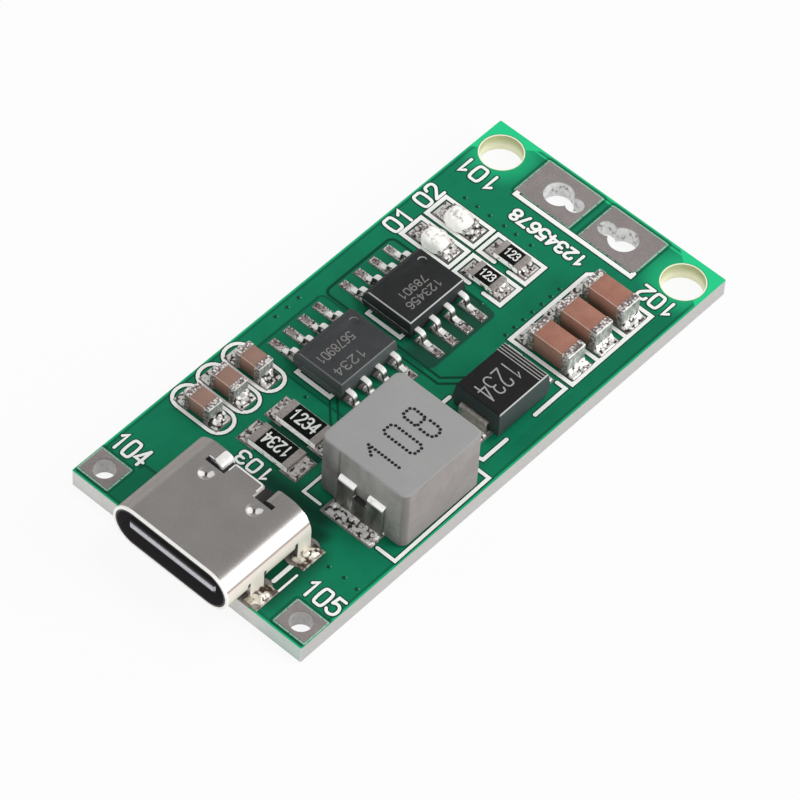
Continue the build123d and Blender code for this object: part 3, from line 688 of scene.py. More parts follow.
# Skin over rings of points, closed by a face at each end or joined back to the first ring
def stackRings(rings, closed=False):
    count, around = rings.shape[:2]
    first = np.arange(count if closed else count - 1)[:, None]
    side = np.arange(around)[None, :]
    after, beside = (first + 1) % count, (side + 1) % around
    quads = [first * around + side, first * around + beside, after * around + beside, after * around + side]
    quads = np.stack(quads, -1)
    points = rings.reshape(-1, 3)
    band = quads[0]
    outward = points[band].mean(1) - rings[:2].mean((0, 1))
    normal = np.cross(points[band[:, 1]] - points[band[:, 0]], points[band[:, 3]] - points[band[:, 0]])
    turned = (normal * outward).sum() < 0
    quads = quads.reshape(-1, 4)
    faces = (quads[:, ::-1] if turned else quads).tolist()
    if not closed:
        start, end = list(range(around)), list(range((count - 1) * around, count * around))
        faces += [start, end[::-1]] if turned else [start[::-1], end]
    return points, faces


# Corner points of a rounded rectangle, anticlockwise
def roundedOutline(halfX, halfY, radius, steps=4):
    turn = np.radians(np.concatenate([start + np.linspace(0, 90, steps) for start in (0, 90, 180, 270)]))
    corner = np.repeat([[1, 1], [-1, 1], [-1, -1], [1, -1]], steps, 0) * (halfX - radius, halfY - radius)
    return corner + radius * np.stack([np.cos(turn), np.sin(turn)], 1)


# Corner cutting: each pass keeps the points a quarter and three quarters along every side
def softened(points, closed, passes=2):
    points = np.asarray(points, float)
    for _ in range(passes):
        ahead = np.roll(points, -1, 0) if closed else points[1:]
        here = points if closed else points[:-1]
        cut = np.stack([here * 0.75 + ahead * 0.25, here * 0.25 + ahead * 0.75], 1).reshape(-1, 2)
        points = cut if closed else np.vstack([points[:1], cut, points[-1:]])
    return points


# Mean direction of a path at each of its points, and the direction of the run after it, both of length 1
def headings(path, closed=False):
    ahead = np.roll(path, -1, 0) - path if closed else np.diff(path, axis=0)
    ahead /= np.linalg.norm(ahead, axis=1)[:, None]
    behind = np.roll(ahead, 1, 0) if closed else np.vstack([ahead[:1], ahead])
    ahead = ahead if closed else np.vstack([ahead, ahead[-1:]])
    along = ahead + behind
    return along / np.maximum(np.linalg.norm(along, axis=1), 1e-6)[:, None], ahead


# Where a point lies in plan that is u along out and v to its left
def plan(origin, out, u, v):
    return origin[0] + u * out[0] - v * out[1], origin[1] + u * out[1] + v * out[0]


# A strip bent along a path of (way out, height): rings of its rounded section, turned to the path
def bentStrip(origin, out, path, width, thick, corner=0.06, passes=2):
    path = softened(path, False, passes)
    along, _ = headings(path)
    section = roundedOutline(width / 2, thick / 2, corner)
    way = path[:, :1] - along[:, 1:] * section[None, :, 1]
    height = path[:, 1:] + along[:, :1] * section[None, :, 1]
    across = np.broadcast_to(section[None, :, 0], way.shape)
    x, y = plan(origin, out, way, across)
    return stackRings(np.stack([x, y, height], -1))


# A flat ribbon along a path: each edge point is the path point plus or minus half the width times the
# mitred normal, with round ends whose half width is the cosine of the way out
def ribbon(path, width, low, high, closed=False):
    path = np.asarray(path, float)
    half = width / 2
    along, ahead = headings(path, closed)
    spread = half / np.clip((along * ahead).sum(1), 0.6, 1.0)
    if not closed:
        turn = np.radians([84, 60, 35, 12])
        out = np.sin(turn)[:, None] * half
        path = np.vstack([path[0] - along[0] * out, path, path[-1] + along[-1] * out[::-1]])
        spread = np.concatenate([np.cos(turn) * half, spread, np.cos(turn[::-1]) * half])
        along = np.vstack([np.repeat(along[:1], 4, 0), along, np.repeat(along[-1:], 4, 0)])
    normal = np.stack([-along[:, 1], along[:, 0]], 1) * spread[:, None]
    rings = np.zeros((len(path), 4, 3))
    rings[:, (0, 3), :2], rings[:, (1, 2), :2] = (path - normal)[:, None], (path + normal)[:, None]
    rings[:, :2, 2], rings[:, 2:, 2] = high, low
    return stackRings(rings, closed)


# Strokes that cross lie a hair above each other
def layered(parts, gap=0.0025):
    lifts = [gap * (place % 4) for place in range(len(parts))]
    return joined([(points + (0, 0, lift), faces) for lift, (points, faces) in zip(lifts, parts)])


# Even steps round a circle of radius 1: the cosine and sine of each
def circle(sides):
    turn = np.linspace(0, 2 * np.pi, sides, endpoint=False)
    return np.stack([np.cos(turn), np.sin(turn)], 1)


# Flat round dots: a ring of points at the radius round each centre, low and high
def dots(centres, radius, low, high, sides=10):
    ring = circle(sides) * radius
    levels = np.array([low, high])
    parts = []
    for centre in np.asarray(centres, float):
        rings = np.zeros((2, sides, 3))
        rings[:, :, :2], rings[:, :, 2] = ring + centre, levels[:, None]
        parts.append(stackRings(rings))
    return joined(parts)


# Unevenness of a surface: a sum of sine waves in set directions and of near lengths, about -1 to 1
def ripples(x, y, grain, seed):
    random = np.random.default_rng(seed)
    turn, shift = random.uniform(0, 2 * np.pi, (2, 9))
    length = grain * random.uniform(0.7, 1.7, 9)
    way = x[..., None] * np.cos(turn) + y[..., None] * np.sin(turn)
    return np.sin(2 * np.pi * way / length + shift).sum(-1) / 4.5


# A closed blob on a grid turned to face along out: its top is the height over each point, its base is flat
def blob(origin, out, u, v, top, low):
    x, y = plan(origin, out, u, v)
    rows, columns = top.shape
    index = np.arange(rows * columns).reshape(rows, columns)
    upper = np.stack([index[:-1, :-1], index[1:, :-1], index[1:, 1:], index[:-1, 1:]], -1).reshape(-1, 4)
    rim = np.concatenate([index[:-1, 0], index[-1, :-1], index[:0:-1, -1], index[0, :0:-1]])
    after = np.roll(rim, -1)
    lower = upper[:, ::-1] + rows * columns
    sides = np.stack([rim + rows * columns, after + rows * columns, after, rim], 1)
    points = np.stack([np.stack([x, y, level], -1).reshape(-1, 3) for level in (top, np.full_like(top, low))])
    return points.reshape(-1, 3), np.concatenate([upper, lower, sides]).tolist()


# A rim rounded by a quarter circle: 0 at the edge, 1 from the radius inward
def quarterRound(edge, radius):
    return np.sqrt(np.clip(1 - (1 - np.clip(edge / radius, 0, 1)) ** 2, 0, 1))


# Solder on a pad. Its height is a base, plus a rise that dies away with the way out from the part at u = 0,
# plus a raised border near the edge, plus ripples, and all of it rounds down to the pad at the edge
def pool(origin, out, inner, run, half, rise, body, lumps, grain, seed,
         low=solderFoot, base=0.05, border=0.05, ridge=0.08):
    u, v = np.meshgrid(np.linspace(inner, run, 26), np.linspace(-half, half, 26), indexing="ij")
    x, y = plan(origin, out, u, v)
    edge = np.minimum(np.minimum(run - u, half - abs(v)), np.where(inner < -0.3, u - inner, 1.0))
    rounded = quarterRound(edge, ridge * 1.6)
    climb = np.exp(-np.maximum(u, 0) / (0.34 * run)) * np.clip((body - abs(v)) / 0.25 + 0.6, 0.15, 1)
    height = base + rise * climb + border * np.exp(-(((edge - ridge) / ridge / 0.9) ** 2))
    height += lumps * ripples(x, y, grain, seed) * np.clip(edge / 0.2, 0, 1)
    return blob(origin, out, u, v, low + rounded * np.maximum(height, 0.02), low - 0.01)


# Rows of x, y, half length, pad ends left and right of x, half pad, rise and half body
capRows = [(5.35, y, 1.6, 2.9 - 5.35, 7.5 - 5.35, 0.84, 0.36, 0.8) for y in (12.18, 9.72, 7.26)]
capRows += [(-6.6, y, 1.0, -8.38 + 6.6, -4.92 + 6.6, 0.68, 0.42, 0.62) for y in (-5.92, -8.05, -10.18)]
resistorRows = [(-1.5, y, 1.6, -2.33, 2.33, 0.92, 0.2, 0.8) for y in (-7.035, -9.405)]
resistorRows += [(-1.2, y, 1.0, -1.63, 1.63, 0.66, 0.2, 0.62) for y in (10.8, 8.58)]
lampRows = [(-5.4, y, 1.0, -1.63, 1.63, 0.64, 0.18, 0.62) for y in (10.8, 8.58)]
pools = {  # node it replaces, finish, rows, lumps and their grain
    "capacitor_pools": ("capacitor_solder", "solder", capRows, 0.06, 0.42),
    "resistor_pools": ("resistor_solder", "resistorSolder", resistorRows, 0.05, 0.36),
    "lamp_pools": ("led_solder", "solder", lampRows, 0.05, 0.3),
    "diode_pools": ("diode_solder", "solder", [], 0.05, 0.4),
    "inductor_pools": ("inductor_solder", "solder", [], 0.09, 0.5),
}
# Pools at the front and rear of a part: x, y, way to its ends, run, half pad, rise, half body, seed
endPools = {
    "diode_pools": (5.42, 2.3, 2.55, 0.85, 1.15, 0.35, 1.05, 207),
    "inductor_pools": (5.2, -6.25, 3.45, 1.06, 1.9, 0.55, 1.75, 230),
}
tuck = 0.04  # how far each pool reaches in under its part
for number, (name, (node, look, rows, lumps, grain)) in enumerate(pools.items()):
    parts = []
    for place, (x, y, halfLength, padLeft, padRight, halfPad, rise, body) in enumerate(rows):
        for turn, (side, reach) in enumerate([(1, padRight), (-1, -padLeft)]):
            seed = number * 40 + place * 2 + turn
            origin, run = (x + side * halfLength, y), reach - halfLength
            parts.append(pool(origin, (side, 0), -tuck, run, halfPad, rise, body, lumps, grain, seed))
    if name in endPools:
        x, y, reach, run, halfPad, rise, body, seed = endPools[name]
        for side in (-1, 1):
            origin = (x, y + side * reach)
            parts.append(pool(origin, (0, side), -tuck, run, halfPad, rise, body, lumps, grain, seed + side))
    piece = addMesh(name, joined(parts), looks[look])
    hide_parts(node)

# Square pads of the socket's legs, from an inner to an outer way off its middle
legSpec = {
    "x": shellSpec["x"],
    "legs": (-13.65, -17.55),
    "inner": 4.28,
    "outer": 5.3,
    "half": 0.94,
    "rise": 0.38,
    "lumps": 0.13,
    "grain": 0.55,
}


# A mound round each leg. Its height is a base, plus a heap that falls off as a bell curve both ways from the
# leg, plus ripples, and all of it rounds down to the pad at the edge
def legMounds(spec):
    run, half = spec["outer"] - spec["inner"], spec["half"]
    u, v = np.meshgrid(np.linspace(0, run, 30), np.linspace(-half, half, 40), indexing="ij")
    edge = np.minimum(run - u, half - abs(v))
    rounded = quarterRound(edge, 0.16)
    heap = np.exp(-((u - 0.35) / 0.34) ** 2 - (v / 0.6) ** 2)
    parts = []
    for place, (side, y) in enumerate([(side, y) for side in (-1, 1) for y in spec["legs"]]):
        lumps = spec["lumps"] * ripples(u, v, spec["grain"], 11 + place)
        height = 0.06 + spec["rise"] * heap + lumps * np.clip(edge / 0.25, 0, 1)
        origin = (spec["x"] + side * spec["inner"], y)
        top = solderFoot + rounded * np.maximum(height, 0.03)
        parts.append(blob(origin, (side, 0), u, v, top, boardTop))
    return joined(parts)


legPiece = addMesh("leg_mounds", legMounds(legSpec), looks["legSolder"])
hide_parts("connector_solder")

# Gull-wing leads with rounded bends, and the tin on their pads; a path is points of (way out, height)
leadSpec = {
    "width": 0.4,
    "thick": 0.17,
    "pitch": 1.27,
    "path": [(1.86, 2.12), (2.42, 2.13), (2.56, 1.86), (2.58, 1.6), (2.72, 1.45), (3.12, 1.44)],
    "toe": 3.12,
}
packages = {  # x, y of the leads and of their pads, how far the tin reaches left and right, node
    "charger": (-3.3, 4.34, 4.34, (4.0, 4.0), "charger_ic"),
    "switch": (-3.1, -1.85, -1.8, (4.2, 3.8), "switch_ic"),
}
toeParts = []
for number, (name, (x, y, padY, reaches, node)) in enumerate(packages.items()):
    parts = []
    for row in range(4):
        shift = (row - 1.5) * leadSpec["pitch"]
        for side, reach in zip((-1, 1), reaches):
            middle, out = (x, y + shift), (side, 0)
            lead = bentStrip(middle, out, leadSpec["path"], leadSpec["width"], leadSpec["thick"], 0.075)
            parts.append(lead)
            origin, run = (x + side * leadSpec["toe"], padY + shift), reach - leadSpec["toe"] - 0.02
            seed = 300 + number * 20 + row * 2 + side
            toeParts.append(pool(origin, out, -1.05, run, 0.29, 0.08, 0.2, 0.01, 0.3, seed,
                                 base=0.025, border=0.075, ridge=0.05))
    piece = addMesh(name + "_leads", joined(parts), looks["leads"])
    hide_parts(node + "_leads")
toeTin = solderTin("toeSolder", (156, 138, 135), level=1.395, grain=0.14)
toes = addMesh("lead_toes", joined(toeParts), toeTin)
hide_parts("ic_solder")


# A strap: two prongs bent over the top, and one plate down the end and under, each a strip along its path
def strapShape(side, spec):
    out, origin = (0, side), (spec["x"], spec["y"])
    plate, top = spec["face"] + spec["proud"], spec["top"]
    over = [(plate - 0.72, top + 0.03), (plate + 0.02, top), (plate, top - 0.9)]
    down = [(plate, top - 0.72), (plate + 0.02, 2.4), (plate + 0.05, 1.62), (plate - 0.12, 1.46)]
    down.append((plate - 1.6, 1.46))
    prong = (spec["width"] - spec["slot"]) / 2
    parts = [bentStrip(origin, out, down, spec["width"], spec["thick"], 0.07)]
    for hand in (-1, 1):
        middle = hand * (spec["slot"] + prong) / 2
        start = (origin[0] - middle * side, origin[1])
        parts.append(bentStrip(start, out, over, prong, spec["thick"] + 0.01, 0.08))
    return joined(parts)


# The pressed block: its middle, half sizes, corner radius, the radius of its rim, its foot and its top
blockSpec = {
    "place": (5.2, -6.25),
    "halfX": 3.3,
    "halfY": 3.35,
    "corner": 0.5,
    "rim": 0.13,
    "foot": 1.37,
    "top": 6.1,
}


# Block: the rounded outline at each level, drawn in a little at its foot, and at its rim by 1 less the cosine
def pressedBlock(spec):
    turn = np.radians(np.linspace(0, 90, 6))
    inset = spec["rim"] * np.concatenate([[0.6, 0.0], 1 - np.cos(turn)])
    level = spec["top"] - spec["rim"] * (1 - np.sin(turn))
    level = np.concatenate([[spec["foot"], spec["foot"] + 0.1], level])
    outline = roundedOutline(spec["halfX"], spec["halfY"], spec["corner"], 7)
    shrink = 1 - inset[:, None, None] / (spec["halfX"], spec["halfY"])
    rings = np.zeros((len(inset), len(outline), 3))
    rings[:, :, :2] = outline * shrink + spec["place"]
    rings[:, :, 2] = level[:, None]
    return stackRings(rings)


block = addMesh("pressed_block", pressedBlock(blockSpec), looks["inductor"])
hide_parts("inductor_block")
for side, word in ((-1, "front"), (1, "rear")):
    strap = addMesh("strap_" + word, strapShape(side, strapSpec), looks["straps"])
    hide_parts("inductor_strap_" + word)

# Moulded and fired bodies get small rounded edges
softBodies = [  # nodes, edge radius, finish, slot
    (["charger_ic_body"], 0.045, "charger", "package_black"),
    (["switch_ic_body"], 0.045, "switch", "package_black"),
    (["diode_body"], 0.07, "diode", "package_black"),
    (["diode_terminal_front", "diode_terminal_rear"], 0.04, "terminals", "lead_metal"),
]
capNames = [f"{row}_cap_{number}" for row in ("input", "output") for number in (1, 2, 3)]
resistorNames = [f"{row}_resistor_{number}" for row in ("sense", "lamp") for number in (1, 2)]
softBodies += [([name + "_body"], 0.05, "capacitor", "capacitor_ceramic") for name in capNames]
softBodies += [([name + "_ends"], 0.07, "ends", "chip_metal") for name in capNames]
softBodies += [([name + "_ends"], 0.018, "resistorEnds", "chip_metal") for name in resistorNames]
for names, width, look, slot in softBodies:
    softCopy(names, width, looks[look])
flushPads(-boardLook["outline"][3])
print("solder, leads, straps and bodies made")

# Resistor glaze: a low pillow from edge to edge between the ends, with its rim rounded by a quarter circle
glazeRows = {  # x, half sizes, level, places y, nodes
    "sense_glaze": (-1.5, 1.09, 0.78, 1.89, (-7.035, -9.405), "sense_resistor"),
    "lamp_glaze": (-1.2, 0.61, 0.6, 1.84, (10.8, 8.58), "lamp_resistor"),
}
for name, (x, halfX, halfY, level, places, node) in glazeRows.items():
    parts = []
    for y in places:
        u, v = np.meshgrid(np.linspace(-halfX, halfX, 24), np.linspace(-halfY, halfY, 20), indexing="ij")
        edge = np.minimum(halfX - abs(u), halfY - abs(v))
        top = level - 0.04 + 0.06 * quarterRound(edge, 0.1)
        parts.append(blob((x, y), (1, 0), u, v, top, level - 0.06))
    glaze = addMesh(name, joined(parts), looks["glaze"])
    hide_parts(node + "_1_glaze", node + "_2_glaze")

# Indicator lamps: a lumpy moulded dome on each base
domeSpec = {
    "places": ((-5.36, 10.7), (-5.3, 8.5)),
    "halfX": 0.88,
    "halfY": 0.74,
    "low": 1.45,
    "high": 2.31,
    "lumps": 0.045,
    "grain": 0.6,
}


# Rings from skirt to crown: plan radius is the cosine and height the sine of the way up, both squared off a
# little, and the ripples push each point in or out
def lampDomes(spec):
    way = np.linspace(0, 0.5 * np.pi - 0.03, 22)[:, None]
    across, along = circle(48).T[:, None]
    radius = np.cos(way) ** 0.44 * (abs(across) ** 2.7 + abs(along) ** 2.7) ** (-1 / 2.7)
    height = np.sin(way) ** 0.78
    parts = []
    for place, (x, y) in enumerate(spec["places"]):
        around = ripples(across * 0.9 + way * 0.3, along * 0.9 + way * 0.5, spec["grain"], 5 + place)
        push = 1 + spec["lumps"] * around
        level = spec["low"] + (spec["high"] - spec["low"]) * height * (1 + 0.03 * around)
        ring = [x + spec["halfX"] * radius * across * push, y + spec["halfY"] * radius * along * push, level]
        parts.append(stackRings(np.stack(ring, -1)))
    return joined(parts)


domes = addMesh("lamp_domes", lampDomes(domeSpec), looks["resin"])
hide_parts("led_1_lens", "led_2_lens")


# A round bead swept along the middle of the shell's wall, which is a line offset of its stadium outline
def mouthLip(spec):
    radius = spec["round"] - spec["lip"] + 0.01
    turn = np.radians(np.concatenate([np.linspace(-90, 90, 24), np.linspace(90, 270, 24)]))
    middle = np.where(np.arange(48) < 24, 1, -1) * (spec["half"] - spec["round"])
    outward = np.stack([np.cos(turn), np.sin(turn)], 1)
    path = np.stack([spec["x"] + middle, np.full(48, spec["middle"])], 1) + outward * radius
    bead = circle(12)
    flat = path[:, None, :] + outward[:, None, :] * bead[None, :, :1] * spec["lip"]
    y = spec["front"] + spec["lip"] * 0.7 + bead[:, 1] * spec["lip"] + 0 * flat[..., 0]
    return stackRings(np.stack([flat[..., 0], y, flat[..., 1]], -1), True)


# Lugs at the notches: out of the wing's inner edge, over a wide bend and down
lugSpec = [  # name, inner edge x, way out, middle y, width, path
    ("left", -2.06, 1, -13.62, 1.02, [(-0.2, 4.3), (0.62, 4.35), (0.62, 3.3)]),
    ("right", 2.36, -1, -13.6, 0.98, [(-0.3, 4.31), (0.15, 4.32), (0.15, 3.7)]),
]
# bright steel with a painted glow for the mouth's lip, the left lug and the edge ribbons
lipMetal = plainFinish("lipSteel", (242, 239, 236), (254, 253, 251), 0.2, 0.004, 0.25, metallic=0.3,
                       emission_strength=1.0, emission_color=(0.13, 0.13, 0.12, 1))
addMesh("shell_lip", mouthLip(shellSpec), lipMetal)
for name, x, out, y, width, path in lugSpec:
    lug = bentStrip((x, y), (out, 0), path, width, 0.29, 0.09, 3)
    # the left lug, turned to the light, is painted bright with a painted glow; the right one takes the
    # shell's finish
    addMesh("shell_lug_" + name, lug, lipMetal if name == "left" else looks["shell"])
edgeLines = [  # width and points of the painted highlights along the edges
    (0.1, [(-0.85, -13.5), (1.12, -13.5), (1.2, -13.56), (1.22, -13.66), (1.22, -14.05)]),
    (0.07, [(-0.93, -13.56), (-0.93, -14.05)]),
    (0.06, [(-2.4, -14.06), (-2.1, -14.06)]),
]
edgeRibbons = [ribbon(points, width, 4.455, 4.468) for width, points in edgeLines]
addMesh("shell_edges", layered(edgeRibbons), lipMetal)
print("glaze, lamps and socket edges made")


# A closed loop of a figure: its middle plus the half sizes times the cosine and the sine of the turn
def loop(x, y, halfX, halfY):
    return circle(16) * (halfX, halfY) + (x, y)


# Figures in a cell 0.6 wide and 1 high: (points, curved, closed)
figureLines = {
    "0": [([(0.3, 1), (0.54, 1), (0.6, 0.72), (0.6, 0.28), (0.54, 0), (0.3, 0), (0.06, 0), (0, 0.28),
            (0, 0.72), (0.06, 1)], True, True)],
    "1": [([(0.1, 0.76), (0.34, 1), (0.34, 0)], False, False)],
    "2": [([(0.02, 0.76), (0.08, 0.98), (0.34, 1.02), (0.58, 0.94), (0.58, 0.64), (0.4, 0.42), (0, 0)],
           True, False),
          ([(0, 0), (0.6, 0)], False, False)],
    "3": [([(0.03, 0.84), (0.12, 1), (0.34, 1.02), (0.58, 0.92), (0.56, 0.62), (0.4, 0.54), (0.24, 0.54)],
           True, False),
          ([(0.24, 0.54), (0.46, 0.54), (0.62, 0.42), (0.6, 0.08), (0.4, -0.02), (0.14, 0), (0.01, 0.16)],
           True, False)],
    "4": [([(0.44, 0), (0.44, 1)], False, False), ([(0.44, 1), (0, 0.28), (0.62, 0.28)], False, False)],
    "5": [([(0.55, 1), (0.1, 1), (0.05, 0.56)], False, False),
          ([(0.05, 0.56), (0.2, 0.66), (0.46, 0.64), (0.62, 0.44), (0.6, 0.1), (0.38, -0.02), (0.14, 0),
            (0.01, 0.14)], True, False)],
    "6": [([(0.54, 0.9), (0.42, 1.02), (0.14, 0.98), (0, 0.62), (0, 0.3)], True, False),
          (loop(0.3, 0.3, 0.29, 0.3), False, True)],
    "7": [([(0, 1), (0.6, 1), (0.2, 0)], False, False)],
    "8": [(loop(0.3, 0.77, 0.25, 0.23), False, True), (loop(0.3, 0.26, 0.3, 0.27), False, True)],
    "9": [([(0.06, 0.1), (0.18, -0.02), (0.46, 0.02), (0.6, 0.38), (0.6, 0.7)], True, False),
          (loop(0.3, 0.7, 0.29, 0.3), False, True)],
}


# Paths of a row of figures: each point is the centre plus its way along the row and its way up
def figurePaths(text, centre, length, height, along):
    along = np.array(along, float)
    up = np.array([-along[1], along[0]])
    pitch = length / (len(text) - 0.28)
    paths = []
    for place, letter in enumerate(text):
        for points, curved, closed in figureLines[letter]:
            points = softened(points, closed) if curved else np.asarray(points, float)
            across = (place * pitch - length / 2) + points[:, :1] * pitch * 1.2
            paths.append((np.array(centre) + across * along + (points[:, 1:] - 0.5) * height * up, closed))
    return paths


# A row of figures as ribbons between two levels
def writeFigures(text, centre, length, height, along, width, low, high):
    paths = figurePaths(text, centre, length, height, along)
    return [ribbon(path, width, low, high, closed) for path, closed in paths]


# White print on the board, with a faint painted glow
whiteInk = plainFinish("whiteInk", (238, 240, 236), (253, 254, 252), 0.12, 0.01, 0.6,
                       emission_strength=1.0, emission_color=(0.08, 0.08, 0.08, 1))
coatShade = plainFinish("coatShade", (14, 62, 46), (20, 76, 56), 0.3, 0.004, 0.5, specular=0.2)
right, left, rearward, forward = (1, 0), (-1, 0), (0, 1), (0, -1)
boardPrint = {
    "low": boardTop - 0.002,
    "high": boardTop + 0.022,
    "shade": 0.17,
    "lines": [  # width, closed, points
        (0.3, False, [(-4.45, 15.05), (-4.45, 14.8), (4.72, 14.8), (4.72, 15.1)]),
        (0.27, True, [(-7.3, 9.95), (-3.52, 9.95), (-3.52, 11.72), (-7.3, 11.72)]),
        (0.27, True, [(-7.3, 7.7), (-3.52, 7.7), (-3.52, 9.47), (-7.3, 9.47)]),
        (0.27, False, [(-1.85, 9.95), (-3.1, 9.95), (-3.1, 11.72), (0.6, 11.72), (0.6, 9.95), (-0.72, 9.95)]),
        (0.27, False, [(-1.85, 7.7), (-3.1, 7.7), (-3.1, 9.47), (0.6, 9.47), (0.6, 7.7), (-0.72, 7.7)]),
        (0.26, False, [(-4.62, 2.15), (-4.62, 1.77), (-2.02, 1.77), (-2.02, 2.15)]),
        (0.28, False, [(-4.6, -4.2), (-4.6, -4.36), (-1.97, -4.36), (-1.97, -4.15)]),
        (0.27, True, [(2.75, 6.2), (7.6, 6.2), (7.6, 13.35), (3.0, 13.35), (2.75, 13.1)]),
        (0.27, False, [(7.5, 11.12), (6.45, 11.12)]),
        (0.27, False, [(7.5, 8.62), (6.45, 8.62)]),
        (0.25, False, [(6.85, 5.7), (7.5, 5.7), (7.5, 3.0)]),
        (0.25, False, [(4.0, 5.7), (3.05, 5.7), (3.05, 3.0)]),
        (0.25, False, [(7.5, 0.5), (7.5, -1.55), (7.3, -1.6)]),
        (0.25, False, [(3.05, 0.5), (3.05, -1.55), (3.25, -1.6)]),
        (0.19, False, [(1.6, -8.7), (1.6, -10.45), (2.9, -10.45)]),
        (0.23, False, [(7.35, -10.45), (8.7, -10.45), (8.62, -2.3), (7.6, -2.3)]),
        (0.19, False, [(1.6, -4.2), (1.6, -2.3), (2.8, -2.3)]),
        (0.27, False, [(4.7, -16.25), (4.7, -14.75)]),
        (0.14, False, [(5.38, -16.95), (5.38, -15.05)]),
    ],
    "capOutlines": [-5.86, -7.99, -10.14],  # places y of the rounded outlines of the input capacitors
    "outlineX": -6.65,
    "figures": [  # text, centre, length, height, direction, width
        ("101", (-7.1, 14.43), 2.8, 1.15, left, 0.2),
        ("102", (7.08, 14.45), 2.5, 1.05, left, 0.2),
        ("12345678", (-0.8, 13.6), 5.6, 0.82, left, 0.2),
        ("02", (-8.14, 11.05), 1.7, 1.1, rearward, 0.2),
        ("01", (-8.12, 8.35), 1.7, 1.1, rearward, 0.2),
        ("103", (-1.68, -11.08), 2.4, 0.9, left, 0.17),
        ("104", (-7.6, -15.12), 2.3, 1.25, right, 0.19),
        ("105", (7.5, -15.12), 2.5, 1.2, right, 0.19),
    ],
}


# Each line is laid twice: a wide dark one painted as shade round the ink, and the ink on it
def printBoard(spec):
    low, high, extra = spec["low"], spec["high"], spec["shade"]
    strokes = [(points, width, closed) for width, closed, points in spec["lines"]]
    for y in spec["capOutlines"]:
        strokes.append((roundedOutline(2.13, 0.91, 0.85, 6) + (spec["outlineX"], y), 0.23, True))
    for text, centre, length, height, along, width in spec["figures"]:
        paths = figurePaths(text, centre, length, height, along)
        strokes += [(path, width, closed) for path, closed in paths]
    ink = [ribbon(path, width, low, high, closed) for path, width, closed in strokes]
    addMesh("board_print", layered(ink), whiteInk, False)
    shade = [ribbon(path, width + extra, low, low + 0.006, closed) for path, width, closed in strokes]
    addMesh("print_shade", layered(shade, 0.001), coatShade, False)


printBoard(boardPrint)

# Small plated holes under the coat: a dark dot with a bright speck painted as a highlight
viaPlaces = [(x, 12.45) for x in (-6.45, -5.45, -4.45, -3.3, -2.35, -1.15)]
viaPlaces += [(2.3, y) for y in (6.25, 7.05, 7.85, 8.65, 9.5, 10.3, 11.1)]
viaPlaces += [(6.25, -13.35), (7.4, -13.3), (8.45, -13.4)]
viaPlaces += [(-8.35, y) for y in (-0.2, -1.2, -2.2)]
viaPlaces += [(-3.0, -5.35), (-0.3, 7.0)]
viaLow = boardTop - 0.003
addMesh("via_dots", dots(viaPlaces, 0.13, viaLow, boardTop + 0.006), coatShade, False)
speck = plainFinish("viaSpeck", (70, 150, 120), (110, 185, 155), 0.05, 0.002, 0.4)
speckDots = dots(np.array(viaPlaces) + (0.09, 0.1), 0.05, viaLow, boardTop + 0.009, 8)
addMesh("via_specks", speckDots, speck, False)

# Pale lips of bare laminate in the screw holes
holeX, holeY = boardLook["screwHole"]
lipSpec = {
    "places": ((holeX, holeY), (-holeX, holeY)),
    "outer": 1.5,
    "inner": 1.365,
    "low": 0.04,
    "high": 1.29,
}


# Four circles, up the inside and down the outside, joined back to the first
def holeLips(spec):
    across, along = circle(64).T
    radius = np.array([spec["inner"], spec["inner"], spec["outer"], spec["outer"]])
    level = np.array([spec["low"], spec["high"], spec["high"] + 0.012, spec["low"]])
    parts = []
    for x, y in spec["places"]:
        rings = [x + radius[:, None] * across, y + radius[:, None] * along, level[:, None] + 0 * across]
        parts.append(stackRings(np.stack(rings, -1).transpose(1, 0, 2), True))
    return joined(parts)


# Bare laminate: pale fibres down the wall, olive towards its top, and the coat at its outer edge; a painted
# glow, faint on the olive and the coat
def bareLaminate(places):
    rim = Finish("holeRim", specular=0.2, emission_strength=1.0)
    fibre = rim.noise(0.12, 3.0, 0.6, (0.5, 0.5, 3.0))
    deep = rim.z.step(0.3, 1.1) * abs(rim.nz).step(0.6, 0.3) * 0.8
    palest = rim.ramp(fibre, (0.3, 232, 232, 204), (0.7, 250, 249, 230))
    pale = rim.blend(deep, palest, seen(170, 176, 116))
    first, second = [rim.away(x, y) for x, y in places]
    coated = first.low(second).step(1.42, 1.45) * rim.nz.step(0.5, 0.8)
    rim.feed(base_color=rim.blend(coated, pale, seen(30, 168, 116)), roughness=0.5 + fibre * 0.2)
    rim.feed(emission_color=rim.blend(deep.high(coated), (0.14, 0.14, 0.11, 1), (0.03, 0.04, 0.02, 1)))
    return rim.material


addMesh("hole_lips", holeLips(lipSpec), bareLaminate(lipSpec["places"]))

